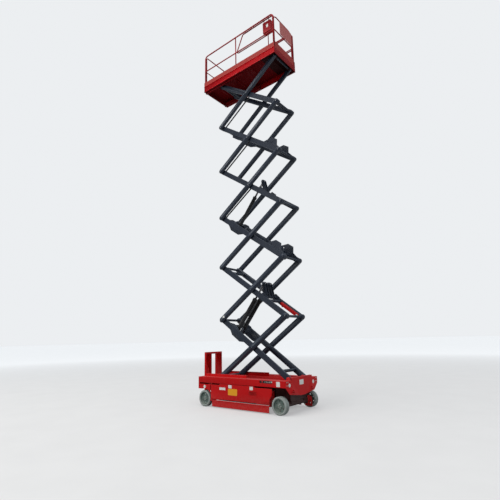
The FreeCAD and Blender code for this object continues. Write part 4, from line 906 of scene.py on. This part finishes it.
class Repeats:
    """The few trees that make all that repeats on the lift."""

    def __init__(self) -> None:
        """Builds the trees."""
        self.ring = self._ring()
        self.grid = self._grid()
        self.slats = self._slats()
        self.lugs = self._lugs()
        self.tread_plate = self._tread_plate()

    @staticmethod
    def _bolt(tree: Grower) -> Level:
        """A bolt's head on a washer, standing on its Z axis."""
        size = tree.take("Head Radius")
        head = tree.node("GeometryNodeMeshCylinder", None, {
            "Vertices": tree.take("Sides"), "Radius": size, "Depth": size * 0.9})
        washer = tree.node("GeometryNodeMeshCylinder", None, {
            "Vertices": 16, "Radius": size * 1.35, "Depth": size * 0.3})
        raised = tree.moved(head, Translation=tree.vector(Z=size * 0.6))
        join = tree.make("GeometryNodeJoinGeometry")
        for shape in (raised, washer):
            tree.tree.links.new(shape.socket, join.inputs[0])
        return Level(tree, join.outputs[0])

    def _ring(self) -> Grower:
        """Bolts on a circle about the Z axis."""
        tree = Grower("bolt_ring", {"Ring Radius": 0.05, "Count": 6, **BOLT})
        return tree.close(tree.scatter(tree.circle(tree.take("Ring Radius")), self._bolt(tree)))

    def _grid(self) -> Grower:
        """Bolts on the points of a grid about the origin."""
        tree = Grower("bolt_grid", {**GRID, **BOLT})
        return tree.close(tree.scatter(tree.grid(), self._bolt(tree)))

    @staticmethod
    def _slats() -> Grower:
        """Flat slats or teeth on the points of a grid about the origin, standing on the XY plane."""
        tree = Grower("slats", {**GRID, "Long": 0.02, "Wide": 0.004, "Rise": 0.003, "Lean": 0.0})
        rise = tree.take("Rise")
        size = tree.vector(X=tree.take("Long"), Y=tree.take("Wide"), Z=rise)
        block = tree.node("GeometryNodeMeshCube", None, {"Size": size})
        raised = tree.moved(block, Translation=tree.vector(Z=rise * 0.5),
                            Rotation=tree.vector(X=tree.take("Lean")))
        return tree.close(tree.scatter(tree.grid(), raised))

    @staticmethod
    def _lugs() -> Grower:
        """Tread blocks round a wheel whose axle is the Z axis."""
        tree = Grower("tread_lugs", {
            "Radius": 0.19, "Count": 40, "Long": 0.020, "Wide": 0.055, "Deep": 0.008, "Offset": 0.0,
            "Slant": 0.35})
        deep = tree.take("Deep")
        circle = tree.circle(tree.take("Radius") - deep * 0.5)
        size = tree.vector(X=deep, Y=tree.take("Long"), Z=tree.take("Wide"))
        block = tree.node("GeometryNodeMeshCube", None, {"Size": size})
        slanted = tree.moved(block, Rotation=tree.vector(X=tree.take("Slant")))
        angle = tree.node("GeometryNodeInputIndex") * (2 * math.pi) / tree.take("Count")
        placed = tree.scatter(circle, slanted, Rotation=tree.vector(Z=angle))
        return tree.close(tree.moved(placed, Translation=tree.vector(Z=tree.take("Offset"))))

    @staticmethod
    def _tread_plate() -> Grower:
        """Raised bars of a tread plate, laid at two slants in turn over a rectangle."""
        tree = Grower("tread_plate", {**GRID, "Bar": 0.030, "Rise": 0.0016})
        bar = tree.take("Bar")
        ball = tree.node("GeometryNodeMeshUVSphere", None, {"Segments": 8, "Rings": 4, "Radius": 1.0})
        shape = tree.moved(ball, Scale=tree.vector(X=bar * 0.5, Y=bar * 0.14, Z=tree.take("Rise")))
        index = tree.node("GeometryNodeInputIndex")
        odd = ((index / tree.take("Rows")).floored() + index).remainder(2.0)
        turn = tree.vector(Z=odd * (math.pi / 2) + math.pi / 4)
        return tree.close(tree.scatter(tree.grid(), shape, Rotation=turn))


def facing(origin: Point, axis: Point, along: Point = AHEAD) -> Matrix:
    """The matrix that stands a shape's Z axis on a direction and its X axis along another.

    Args:
        origin: Where the shape's origin goes.
        axis: Where its Z axis points.
        along: About where its X axis points.

    Returns:
        The matrix.
    """
    z = Vector(axis).normalized()
    x = Vector(along)
    x = (x - z * x.dot(z)).normalized()
    y = z.cross(x)
    turn = Matrix((x, y, z)).transposed().to_4x4()
    return Matrix.Translation(origin) @ turn


def bent_bar(name: str, points: Sequence[Point], radius: float, body: str, finish: Finish) -> None:
    """Bends a closed round bar along a smooth line and sets it on its body.

    Args:
        name: The piece's name.
        points: The corners that its line goes round.
        radius: Its radius.
        body: The CAD body that it moves with.
        finish: Its finish.
    """
    curve = bpy.data.curves.new(name, "CURVE")
    curve.dimensions = "3D"
    curve.bevel_depth = radius
    curve.bevel_resolution = 4
    curve.resolution_u = 10
    curve.use_fill_caps = True
    spline = curve.splines.new("NURBS")
    spline.points.add(len(points) - 1)
    for target, point in zip(spline.points, points):
        target.co = (*point, 1.0)
    spline.order_u = 3
    spline.use_endpoint_u = True
    holder = linked("bending", curve)
    mesh = bpy.data.meshes.new_from_object(holder.evaluated_get(bpy.context.evaluated_depsgraph_get()))
    bpy.data.objects.remove(holder)
    bpy.data.curves.remove(curve)
    set_on_body(name, mesh, body, finish)


@dataclass
class Carcass:
    """The CAD nodes that keep their shape: each is copied clean, smoothed and given its finish."""

    merge: float = 1e-5
    sharp: float = 32.0
    left_alone: tuple[str, ...] = ("tyre_front_near", "tyre_front_far", "tyre_rear_near", "tyre_rear_far")

    def dress(self) -> None:
        """Replaces every node that no other class replaces."""
        slots = {entry["node"]: entry["material_slot"] for entry in frame["record"]["subparts"]}
        for name, node in sorted(frame["nodes"].items()):
            if name not in self.left_alone:
                self._copy(name, node, NODE_FINISH.get(name, SLOT_FINISH[slots[name]]))

    def _copy(self, name: str, node: bpy.types.Object, finish: Finish) -> None:
        """Replaces a node by its own shape with merged points and smooth rounds.

        Args:
            name: The node's name.
            node: Its object.
            finish: Its finish.
        """
        bm = bmesh.new()
        bm.from_mesh(node.data)
        bmesh.ops.remove_doubles(bm, verts=bm.verts, dist=self.merge)
        mesh = bpy.data.meshes.new(name + "_skin")
        bm.to_mesh(mesh)
        bm.free()
        piece = set_on_body(name + "_skin", mesh, node["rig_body"], finish, self.sharp)
        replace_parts(piece, name)


@dataclass
class Wheels:
    """The four solid tyres with their tread, and the nuts on their rims."""

    repeats: Repeats
    radius: float = 0.1905
    bead_radius: float = 0.148
    tread_depth: float = 0.007
    shoulder: float = 0.014
    lug_count: int = 44
    lug_length: float = 0.0165
    lug_slant: float = 0.42
    lug_overlap: float = 0.006
    lug_gap: float = 0.004
    lug_root: float = 0.002
    rim_dish: float = 0.0195
    nut_ring: float = 0.036
    nut_radius: float = 0.0070
    nut_count: int = 5
    sides: int = 96

    def dress(self) -> None:
        """Builds each wheel."""
        for end in ("front", "rear"):
            for side, sign in SIDES.items():
                self._tyre(end, side)
                self._nuts(end, side, sign)

    def _tyre(self, end: str, side: str) -> None:
        """Builds one tyre: a turned carcass and two rows of slanted lugs on it."""
        node = f"tyre_{end}_{side}"
        low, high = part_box(node)
        centre = (low + high) / 2
        half = (high.y - low.y) / 2
        crown = self.radius - self.tread_depth
        far_wall = [
            (self.bead_radius, half - 0.006), (self.bead_radius + 0.012, half - 0.001), (crown - 0.022, half),
            (crown - 0.006, half - 0.005), (crown, half - self.shoulder), (crown, 0.004),
            (crown - 0.005, 0.002),
        ]
        near_wall = [(radius, -along) for radius, along in far_wall]
        outline = near_wall + far_wall[::-1] + near_wall[:1]
        form = Form(node + "_rubber").lathe(outline, centre, FARWARD, self.sides)
        reach = half - self.shoulder + self.lug_overlap
        for row in (NEAR, FAR):
            lugs = self.repeats.lugs.grow(
                Finish.TYRE, Radius=self.radius - 0.0002, Count=self.lug_count, Long=self.lug_length,
                Wide=reach - self.lug_gap, Deep=self.tread_depth + self.lug_root,
                Offset=row * (reach + self.lug_overlap) / 2, Slant=self.lug_slant * row)
            form.add(lugs, facing(centre, FARWARD))
        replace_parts(form.piece(f"wheel_{end}_{side}", Finish.TYRE, 40.0), node)

    def _nuts(self, end: str, side: str, sign: int) -> None:
        """Puts the nuts on a rim's outer face."""
        low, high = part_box(f"rim_{end}_{side}")
        centre = (low + high) / 2
        face = (high.y if sign == FAR else low.y) - sign * self.rim_dish
        nuts = self.repeats.ring.grow(Finish.ZINC, Ring_Radius=self.nut_ring, Count=self.nut_count,
                                      Head_Radius=self.nut_radius)
        nuts.transform(facing((centre.x, face, centre.z), (0, sign, 0)))
        set_on_body(f"wheel_nuts_{end}_{side}", nuts, f"wheel_{end}_{side}", Finish.ZINC)


@dataclass(frozen=True)
class Plate:
    """A bare plate on a wall: its place, the way it faces and its size."""

    name: str
    body: str
    finish: Finish
    centre: tuple[float, float, float]
    outward: tuple[float, float, float]
    wide: float
    high: float
    round: bool = False
    thick: float = 0.0016

    def build(self) -> None:
        """Makes the plate, with a low rim round its face."""
        form, thick = Form(self.name), self.thick
        if self.round:
            radius = self.wide / 2
            form.lathe([(0, 0), (radius, 0), (radius, thick * 0.7), (radius - thick * 0.3, thick),
                        (radius * 0.86, thick), (radius * 0.84, thick * 0.6), (0, thick * 0.6)], sides=36)
        else:
            form.slab(self.wide, self.high, thick, min(self.wide, self.high) * 0.12, 0.005)
        across = Vector(UP).cross(Vector(self.outward))
        form.at(facing(self.centre, self.outward, across)).piece(self.body, self.finish, 25.0)


def knob(name: str, head: float, stem: float, rise: float) -> Form:
    """A push button or a mushroom knob, standing on the XY plane.

    Args:
        name: The piece's name.
        head: The radius of its head.
        stem: The radius of its collar.
        rise: How far it stands out.

    Returns:
        The knob as a form.
    """
    outline = [(0, 0), (stem, 0), (stem, rise * 0.35), (stem * 0.75, rise * 0.40), (stem * 0.75, rise * 0.50),
               (head * 0.92, rise * 0.55), (head, rise * 0.68), (head * 0.94, rise * 0.85),
               (head * 0.60, rise), (0, rise)]
    return Form(name).lathe(outline, sides=24)


@dataclass
class ChassisFittings:
    """What is fixed on the chassis, the trays and the ladder: plates, vents, tread and switches."""

    repeats: Repeats
    side: float = 0.675
    tray_face: float = 0.672
    front: float = 1.370
    deck: float = 0.700
    deck_strip: tuple[float, float, float, float] = (-1.26, 1.34, 0.500, 0.650)
    vent_centre: tuple[float, float] = (0.46, 0.400)
    vent_size: tuple[float, float] = (0.22, 0.070)
    panel_face: float = 0.647
    panel_z: float = 0.664
    stop_x: float = 0.735
    toggles_x: tuple[float, ...] = (0.800, 0.845, 0.890)
    key_x: float = 0.935
    meter_x: float = 0.985
    ladder: tuple[float, float] = (-1.380, -0.045)
    treads_z: tuple[float, ...] = (0.354, 0.534, 0.702)

    def dress(self) -> None:
        """Builds the fittings."""
        self._plates()
        for side, sign in SIDES.items():
            self._deck_tread(side, sign)
        self._vent()
        self._switches()
        self._front_bolts()
        self._ladder_teeth()

    def _plates(self) -> None:
        """Puts the bare plates and round reflectors on the near side and the front end."""
        tray, side, front = -self.tray_face, -self.side, self.front
        on_tray = (
            ("plate_large", Finish.YELLOW, -0.145, 0.388, 0.287, 0.145),
            ("plate_long", Finish.WHITE, -0.470, 0.448, 0.200, 0.058),
            ("plate_tray_rear", Finish.WHITE, -0.224, 0.508, 0.108, 0.074),
            ("plate_tray_front", Finish.WHITE, 0.422, 0.506, 0.098, 0.074),
        )
        on_chassis = (
            ("disc_rear", (-1.071, side, 0.468), NEARWARD, 0.078, 0.078, True),
            ("plate_band", (1.172, side, 0.632), NEARWARD, 0.096, 0.106, False),
            ("plate_front", (front, -0.036, 0.636), AHEAD, 0.170, 0.106, False),
            ("disc_front_near", (front, -0.525, 0.606), AHEAD, 0.082, 0.082, True),
            ("disc_front_far", (front, 0.484, 0.600), AHEAD, 0.082, 0.082, True),
        )
        for name, finish, x, z, wide, high in on_tray:
            Plate(name, "tray_near", finish, (x, tray, z), NEARWARD, wide, high).build()
        for name, *place_and_size in on_chassis:
            Plate(name, "chassis", Finish.WHITE, *place_and_size).build()

    def _deck_tread(self, side: str, sign: int) -> None:
        """Raises the tread on a deck strip."""
        rear, front, inner, outer = self.deck_strip
        tread = self.repeats.tread_plate.grow(Finish.RED, Length=front - rear, Width=outer - inner, Columns=64,
                                              Rows=4, Bar=0.028, Rise=0.0014)
        tread.transform(Matrix.Translation(((front + rear) / 2, sign * (inner + outer) / 2, self.deck)))
        set_on_body(f"deck_tread_{side}", tread, "chassis", Finish.RED)

    def _vent(self) -> None:
        """Sets a row of vent slats in the near tray's face, over the power unit's motor."""
        x, z = self.vent_centre
        wide, high = self.vent_size
        slats = self.repeats.slats.grow(Finish.RED, Length=0.001, Width=high, Columns=2, Rows=6, Long=wide,
                                        Wide=0.0065, Rise=0.004, Lean=0.5)
        Form("tray_vent").add(slats, facing((x, -self.tray_face, z), NEARWARD)).piece("tray_near", Finish.RED)

    def _switches(self) -> None:
        """Puts the stop knob, toggles, key switch and hour meter on the ground control panel."""
        face, z = -self.panel_face, self.panel_z
        stop = knob("ground_stop", 0.019, 0.013, 0.022)
        stop.at(facing((self.stop_x, face, z), NEARWARD)).piece("chassis", Finish.STOP_RED)
        metal = Form("ground_switches")
        toggle = [(0, 0), (0.009, 0), (0.009, 0.004), (0.0045, 0.006), (0.003, 0.018), (0.0036, 0.021),
                  (0, 0.022)]
        for x in self.toggles_x:
            metal.lathe(toggle, (x, face, z - 0.002), (0.05, -1, 0.35), 20)
        lock = [(0, 0), (0.013, 0), (0.013, 0.005), (0.010, 0.007), (0, 0.007)]
        metal.lathe(lock, (self.key_x, face, z), NEARWARD, 24)
        metal.block((self.key_x - 0.0015, face - 0.014, z - 0.008),
                    (self.key_x + 0.0015, face - 0.006, z + 0.008))
        metal.piece("chassis", Finish.ZINC)
        meter = Form("hour_meter").slab(0.040, 0.026, 0.006, 0.004, 0.003)
        meter.at(facing((self.meter_x, face, z), NEARWARD)).piece("chassis", Finish.WHITE)

    def _front_bolts(self) -> None:
        """Bolts the front panel at its upper corners."""
        form = Form("front_bolts")
        for sign in SIDES.values():
            bolts = self.repeats.grid.grow(Finish.ZINC, Length=0.070, Width=0.045, Columns=2, Rows=2,
                                           Head_Radius=0.0065)
            form.add(bolts, facing((self.front, sign * 0.610, 0.640), AHEAD, UP))
        form.piece("chassis", Finish.ZINC)

    def _ladder_teeth(self) -> None:
        """Puts grip teeth on the ladder's treads, between its posts."""
        form = Form("ladder_teeth")
        for z in self.treads_z:
            teeth = self.repeats.slats.grow(Finish.RED, Length=0.044, Width=0.168, Columns=3, Rows=15,
                                            Long=0.012, Wide=0.003, Rise=0.003)
            form.add(teeth, Matrix.Translation((*self.ladder, z)))
        form.piece("chassis", Finish.RED)


@dataclass(frozen=True)
class Stack:
    """Where the linkage's arms and cylinders lie at rest, so that a fitting can be placed on one."""

    arm_length: float = 2.420
    angle: float = math.radians(35.2)
    right_x: float = 1.230
    base_z: float = 0.704
    foot_share: float = 0.1694
    eye_share: float = 0.536
    eye_rise: float = 0.2575

    def place(self, inner: bool, stage: int) -> Matrix:
        """The matrix from an arm's own frame to the part's.

        Args:
            inner: Whether the arm is an inner one.
            stage: Its stage, counted from 1.

        Returns:
            The matrix; in the arm's frame X runs along it from its left-hand end and Z stands over it.
        """
        level = stage if inner else stage - 1
        left = (self.right_x - self.arm_length * math.cos(self.angle), 0.0,
                self.base_z + level * self.arm_length * math.sin(self.angle))
        return Matrix.Translation(left) @ Matrix.Rotation(self.angle if inner else -self.angle, 4, "Y")

    def cylinder(self, stage: int) -> Matrix:
        """The matrix from the frame of a lift cylinder, X from its foot pin to its eye, to the part's."""
        foot = self.place(True, stage) @ Vector((self.foot_share * self.arm_length, 0, 0))
        eye = self.place(True, stage + 1) @ Vector((self.eye_share * self.arm_length, 0, self.eye_rise))
        run = eye - foot
        return Matrix.Translation(foot) @ Matrix.Rotation(-math.atan2(run.z, run.x), 4, "Y")


@dataclass
class LiftFittings:
    """What is fixed on the arms and cylinders: pin keepers, grease nipples, pipes and bare plates."""

    repeats: Repeats
    stack: Stack = Stack()
    head_face: float = 0.402
    keeper_ring: float = 0.027
    keeper_bolt: float = 0.0045
    nipple: Outline = ((0, 0), (0.0050, 0), (0.0050, 0.0025), (0.0030, 0.0035), (0.0030, 0.0060),
                       (0.0018, 0.0075), (0, 0.0078))
    pipe_stages: tuple[int, ...] = (4, 5, 6)
    pipe_y: float = -0.205
    pipe_radius: float = 0.019
    pipe_rises: tuple[float, float] = (0.026, 0.008)
    bracket_half: float = 0.021
    bracket_edge: float = 0.002
    pin_end: float = -0.266
    shaft_radius: float = 0.030
    collar_radius: float = 0.040
    sheet_stages: tuple[int, ...] = (3, 5)
    sheet_outline: Outline = ((-0.430, 0.078), (-0.244, 0.078), (-0.304, 0.196), (-0.404, 0.196))
    sheet_faces: tuple[float, float] = (0.2700, 0.2755)
    cylinders: tuple[tuple[int, str, tuple[float, ...], float], ...] = (
        (1, "lower_barrels", (-0.105, 0.105), 0.055), (3, "upper_barrel", (0.0,), 0.048))
    ports_x: tuple[float, float] = (0.071, 0.896)
    clips_x: tuple[float, float] = (0.30, 0.60)
    transfer_gap: float = 0.010
    transfer_radius: float = 0.006

    def dress(self) -> None:
        """Builds the fittings."""
        for stage in range(1, STAGES + 1):
            self._pins(stage)
        for stage in self.pipe_stages:
            self._pipe(stage)
        for stage in self.sheet_stages:
            self._window_sheets(stage)
        for stage, body, centres, radius in self.cylinders:
            self._transfer_pipes(stage, body, centres, radius)
        self._plates()

    def _pins(self, stage: int) -> None:
        """Puts keeper bolts and a grease nipple on each pin head of an outer arm."""
        length = self.stack.arm_length
        bolts, nipples = Form(f"pin_bolts_{stage}"), Form(f"grease_nipples_{stage}")
        for along in (0.0, length / 2, length):
            if stage == 1 and along == 0:
                continue
            for sign in SIDES.values():
                place = self.stack.place(False, stage) @ facing((along, sign * self.head_face, 0), (0, sign, 0))
                keepers = self.repeats.ring.grow(Finish.ARM, Ring_Radius=self.keeper_ring, Count=3,
                                                 Head_Radius=self.keeper_bolt)
                bolts.add(keepers, place)
                nipples.stamp(Form("nipple").lathe(self.nipple, sides=14), place)
        bolts.piece(f"outer_arm_{stage}", Finish.ARM)
        nipples.piece(f"outer_arm_{stage}", Finish.ZINC)

    def _pipe(self, stage: int) -> None:
        """Runs the feed pipe of an outer arm from its lower shaft to its middle pin, with its brackets."""
        place, y, half, edge = self.stack.place(False, stage), self.pipe_y, self.bracket_half, self.bracket_edge
        low, high = self.pipe_rises
        middle = self.stack.arm_length / 2
        inner, outer = self.shaft_radius, self.collar_radius
        collar = [(inner, -half), (outer, -half), (outer, half), (inner, half), (inner, -half)]
        brackets = Form(f"pipe_brackets_{stage}").lathe(collar, (0, y, 0), FARWARD, 32)
        brackets.block((0.028, y - half, low - half), (0.070, y + half, low + half), edge)
        brackets.bar((middle, self.pin_end, 0), (middle, y + half, 0), 0.012)
        brackets.block((middle - 0.030, y - half, high - half), (middle + 0.014, y + half, high + half), edge)
        brackets.at(place).piece(f"outer_arm_{stage}", Finish.ARM)
        line = Form(f"feed_pipe_{stage}").bar((0.034, y, low), (middle - 0.010, y, high), self.pipe_radius, 16)
        line.at(place).piece(f"outer_arm_{stage}", Finish.HOSE)

    def _window_sheets(self, stage: int) -> None:
        """Backs the windows of an inner arm's tall plates with thin sheet."""
        inner, outer = self.sheet_faces
        outline = [(self.stack.arm_length + along, rise) for along, rise in self.sheet_outline]
        sheets = Form(f"window_sheets_{stage}").prism(outline, -outer, -inner).prism(outline, inner, outer)
        sheets.at(self.stack.place(True, stage)).piece(f"inner_arm_{stage}", Finish.ARM)

    def _transfer_pipes(self, stage: int, body: str, centres: Sequence[float], radius: float) -> None:
        """Puts the steel pipe that joins the two ends of each barrel on its inner side."""
        form = Form(f"transfer_pipes_{body}")
        for centre in centres:
            side = FAR if centre < 0 else NEAR
            y, wall = centre + side * (radius + self.transfer_gap), centre + side * (radius - 0.003)
            for x in self.ports_x:
                form.bar((x, centre + side * (radius - 0.004), 0), (x, y + side * 0.006, 0), 0.011, 16, 0.001)
            for x in self.clips_x:
                form.block((x - 0.008, min(y, wall), -0.009), (x + 0.008, max(y, wall), 0.009), 0.001)
            rear, front = self.ports_x
            form.bar((rear, y, 0), (front, y, 0), self.transfer_radius, 14)
        form.at(self.stack.cylinder(stage)).piece(body, Finish.DARK)

    def _plates(self) -> None:
        """Puts a pale plate at the foot of the second outer arm, and a cap on the maintenance bar's pin."""
        spot = self.stack.place(False, 2) @ Vector((0.105, -0.395, 0.022))
        Plate("plate_arm", "outer_arm_2", Finish.WHITE, tuple(spot), NEARWARD, 0.060, 0.060).build()
        cap = self.stack.place(True, 2) @ Vector((self.stack.arm_length - 0.085, 0.240, -0.010))
        Plate("bar_cap", "inner_arm_2", Finish.WHITE, tuple(cap), NEARWARD, 0.056, 0.056, True).build()


@dataclass
class PlatformFittings:
    """What is fixed on the platform: tread, rail pins, the gate's latch and the operator's controls."""

    repeats: Repeats
    deck: float = DECK_TOP
    extension_deck: float = DECK_TOP + 0.0124
    rail_y: float = 0.492
    rail_feet: tuple[float, ...] = (-1.288, -0.040, 1.306)
    pin_rise: float = 0.030
    ring_rise: float = 0.018
    ring_radius: float = 0.013
    ring_wire: float = 0.0022
    channel_y: float = 0.520
    box_top: float = DECK_TOP + 1.041

    def dress(self) -> None:
        """Builds the fittings."""
        self._tread("platform_tread", "platform", (-1.290, 0.070, 0.460, self.deck), 34, 24)
        self._tread("extension_tread", "extension", (0.125, 1.290, 0.430, self.extension_deck), 29, 22)
        for side, sign in SIDES.items():
            self._rail_pins(side, sign)
            self._channel_bolts(side, sign)
        self._gate_latch()
        self._controls()

    def _tread(self, name: str, body: str, place: tuple[float, ...], columns: int, rows: int) -> None:
        """Raises the tread on a deck.

        Args:
            name: The piece's name.
            body: The CAD body that it moves with.
            place: The deck's rear end, front end, half width and height.
            columns: How many bars there are along the deck.
            rows: How many there are across it.
        """
        rear, front, half, level = place
        tread = self.repeats.tread_plate.grow(Finish.DARK, Length=front - rear, Width=2 * half, Columns=columns,
                                              Rows=rows, Bar=0.030, Rise=0.0015)
        tread.transform(Matrix.Translation(((front + rear) / 2, 0, level)))
        set_on_body(name, tread, body, Finish.DARK)

    def _rail_pins(self, side: str, sign: int) -> None:
        """Puts a cross pin with a pull ring through each foot of a guard rail."""
        form = Form(f"rail_pins_{side}")
        inner, outer = sign * (self.rail_y - 0.019), sign * (self.rail_y + 0.016)
        z = self.deck + self.pin_rise
        turns = [step * math.pi / 4 for step in range(8)]
        ring = [(self.ring_radius + self.ring_wire * math.cos(a), self.ring_wire * math.sin(a)) for a in turns]
        for x in self.rail_feet:
            form.bar((x, inner, z), (x, outer, z), 0.006, 14, 0.001)
            middle = (x, sign * (self.rail_y - 0.017), self.deck + self.ring_rise)
            form.lathe(ring + ring[:1], middle, AHEAD, 20)
        form.piece("platform", Finish.ZINC)

    def _channel_bolts(self, side: str, sign: int) -> None:
        """Bolts the side channel to the deck's cross members, low on its web."""
        bolts = self.repeats.grid.grow(Finish.PLATFORM, Length=1.982, Width=0.05, Columns=4, Rows=2)
        place = facing((0.009, sign * self.channel_y, self.deck - 0.075), (0, sign, 0))
        Form(f"channel_bolts_{side}").add(bolts, place).piece("platform", Finish.PLATFORM)

    def _gate_latch(self) -> None:
        """Puts the spring latch on the gate's free post."""
        y, z = -0.444, self.deck + 0.62
        form = Form("gate_latch")
        form.block((-1.312, y - 0.004, z), (-1.300, y + 0.016, z + 0.090), 0.003)
        form.block((-1.302, y - 0.002, z + 0.020), (-1.284, y + 0.014, z + 0.070), 0.002)
        form.bar((-1.306, y + 0.006, z + 0.045), (-1.306, y + 0.052, z + 0.045), 0.005, 14, 0.001)
        form.piece("gate", Finish.ZINC)

    def _controls(self) -> None:
        """Puts the joystick, stop knob, buttons and a bare plate on the control box, and a guard over them."""
        low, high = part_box("control_box")
        back, front, inner, top = low.x, high.x, high.y, self.box_top
        middle = (back + front) / 2
        stick = [(0, 0), (0.024, 0), (0.022, 0.004), (0.013, 0.010), (0.007, 0.014), (0.006, 0.026),
                 (0.012, 0.031), (0.014, 0.042), (0.010, 0.054), (0, 0.056)]
        joystick = Form("joystick").lathe(stick, (back + 0.070, inner - 0.062, top), (0.10, 0, 1), 24)
        joystick.piece("extension", Finish.BLACK)
        stop = knob("platform_stop", 0.020, 0.014, 0.028)
        stop.at(Matrix.Translation((front - 0.048, inner - 0.045, top))).piece("extension", Finish.STOP_RED)
        buttons = Form("platform_buttons")
        for column in range(3):
            spot = Matrix.Translation((middle - 0.010 + 0.030 * column, inner - 0.035, top))
            buttons.stamp(knob("button", 0.009, 0.010, 0.010), spot)
        buttons.piece("extension", Finish.BLACK)
        corners = ((back + 0.020, -0.004), (back + 0.020, 0.032), (front - 0.020, 0.032),
                   (front - 0.020, -0.004))
        guard = [(x, inner - 0.008, top + rise) for x, rise in corners]
        bent_bar("control_guard", guard, 0.006, "extension", Finish.RAIL)
        Plate("plate_box_outer", "extension", Finish.WHITE, (middle + 0.02, -0.418, top - 0.150), NEARWARD,
              0.070, 0.100).build()


@dataclass
class Studio:
    """The floor, the lights and the camera at the photograph's place."""

    eye: tuple[float, float, float] = (6.1745, -7.790, 1.591)
    yaw: float = 0.675
    pitch: float = 0.230
    roll: float = -0.022
    focal_px: float = 381.718
    frame_px: float = 500.0
    sensor_mm: float = 36.0
    floor_half: float = 400.0
    floor_colour: Colour = (0.38, 0.38, 0.375)
    floor_mottle: float = 0.95
    bounce_colour: Colour = (0.17, 0.17, 0.17)
    near_haze: Colour = (0.34, 0.34, 0.345)
    far_haze: Colour = (0.66, 0.68, 0.70)
    haze_reach: tuple[float, float] = (20.0, 900.0)
    backdrop: Colour = (0.84, 0.86, 0.88)
    sky_colour: Colour = (0.90, 0.95, 1.0)
    sky_strength: float = 0.55
    lamp_target: tuple[float, float, float] = (0.0, 0.0, 4.5)
    lamps: tuple[tuple[str, Colour, float, float, Colour], ...] = (
        ("overhead", (-2.0, -4.0, 24.0), 16.0, 3400.0, (1.0, 0.99, 0.97)),
        ("key", (-4.0, -20.0, 10.0), 10.0, 1500.0, (1.0, 0.97, 0.94)),
        ("fill", (16.0, 2.0, 8.0), 10.0, 450.0, (0.93, 0.96, 1.0)),
    )

    def build(self) -> None:
        """Makes the camera, the floor, the world and the lamps."""
        self._camera()
        self._floor()
        self._world()
        self._lamps()

    def _camera(self) -> None:
        """Stands the camera where the photograph was taken."""
        data = bpy.data.cameras.new("camera")
        data.sensor_width = self.sensor_mm
        data.lens = self.focal_px / self.frame_px * self.sensor_mm
        data.clip_end = 2 * self.floor_half
        ahead = Vector((-math.sin(self.yaw) * math.cos(self.pitch),
                        math.cos(self.yaw) * math.cos(self.pitch), math.sin(self.pitch)))
        right = Vector((math.cos(self.yaw), math.sin(self.yaw), 0.0))
        up = right.cross(ahead)
        x = right * math.cos(self.roll) + up * math.sin(self.roll)
        y = up * math.cos(self.roll) - right * math.sin(self.roll)
        camera = linked("camera", data)
        camera.matrix_world = Matrix.Translation(self.eye) @ Matrix((x, y, -ahead)).transposed().to_4x4()
        bpy.context.scene.camera = camera

    def _floor(self) -> None:
        """Lays a plain floor that is pale to the eye but throws little light back on the lift."""
        reach = self.floor_half
        mesh = bpy.data.meshes.new("floor")
        mesh.from_pydata([(-reach, -reach, 0), (reach, -reach, 0), (reach, reach, 0), (-reach, reach, 0)],
                         [], [(0, 1, 2, 3)])
        s = Surface("floor")
        seen = s.seen_by("Camera", "Glossy", "Transmission")
        mottled = tuple(value * self.floor_mottle for value in self.floor_colour)
        pale = s.mix(s.noise(1.3, 4.0).ramp(0.3, 0.7), self.floor_colour, mottled)
        x, y = s.along("X"), s.along("Y")
        haze = s.mix((x * x + y * y).ramp(*self.haze_reach), self.near_haze, self.far_haze)
        s.feed(Base_Color=s.mix(seen, self.bounce_colour, pale), Roughness=0.9, Specular_IOR_Level=0.1,
               Emission_Color=s.mix(seen, (0.0, 0.0, 0.0), haze), Emission_Strength=1.0)
        mesh.materials.append(s.material)
        linked("floor", mesh)

    def _world(self) -> None:
        """Gives a soft even sky, which the camera and glass see as pale."""
        world = bpy.data.worlds.new("studio")
        world.use_nodes = True
        tools = TreeTools(world.node_tree)
        seen = tools.seen_by("Camera", "Transmission")
        light, backdrop = [
            tools.node("ShaderNodeBackground", None, {"Color": rgba(colour), "Strength": strength})
            for colour, strength in ((self.sky_colour, self.sky_strength), (self.backdrop, 1.0))]
        both = tools.node("ShaderNodeMixShader", None, {0: seen, 1: light, 2: backdrop})
        tools.make("ShaderNodeOutputWorld", None, {"Surface": both})
        bpy.context.scene.world = world

    def _lamps(self) -> None:
        """Hangs a large soft lamp overhead, a key lamp on the near side and a weak one by the front end."""
        for name, place, size, power, colour in self.lamps:
            data = bpy.data.lights.new(name, "AREA")
            data.shape = "SQUARE"
            data.size = size
            data.energy = power
            data.color = colour
            lamp = linked(name, data)
            lamp.location = place
            towards = Vector(self.lamp_target) - Vector(place)
            lamp.rotation_euler = towards.to_track_quat("-Z", "Y").to_euler()


def main() -> None:
    """Builds the whole scene, sub-assembly by sub-assembly, and reports each piece as it is set on."""
    logging.basicConfig(level=logging.INFO, format="%(name)s: %(message)s")
    bpy.context.scene.view_settings.view_transform = "Standard"
    Studio().build()
    repeats = Repeats()
    for assembly in (Carcass(), Wheels(repeats), ChassisFittings(repeats), LiftFittings(repeats),
                     PlatformFittings(repeats)):
        LOG.info("building %s", type(assembly).__name__)
        assembly.dress()


if __name__ == "__main__":
    main()
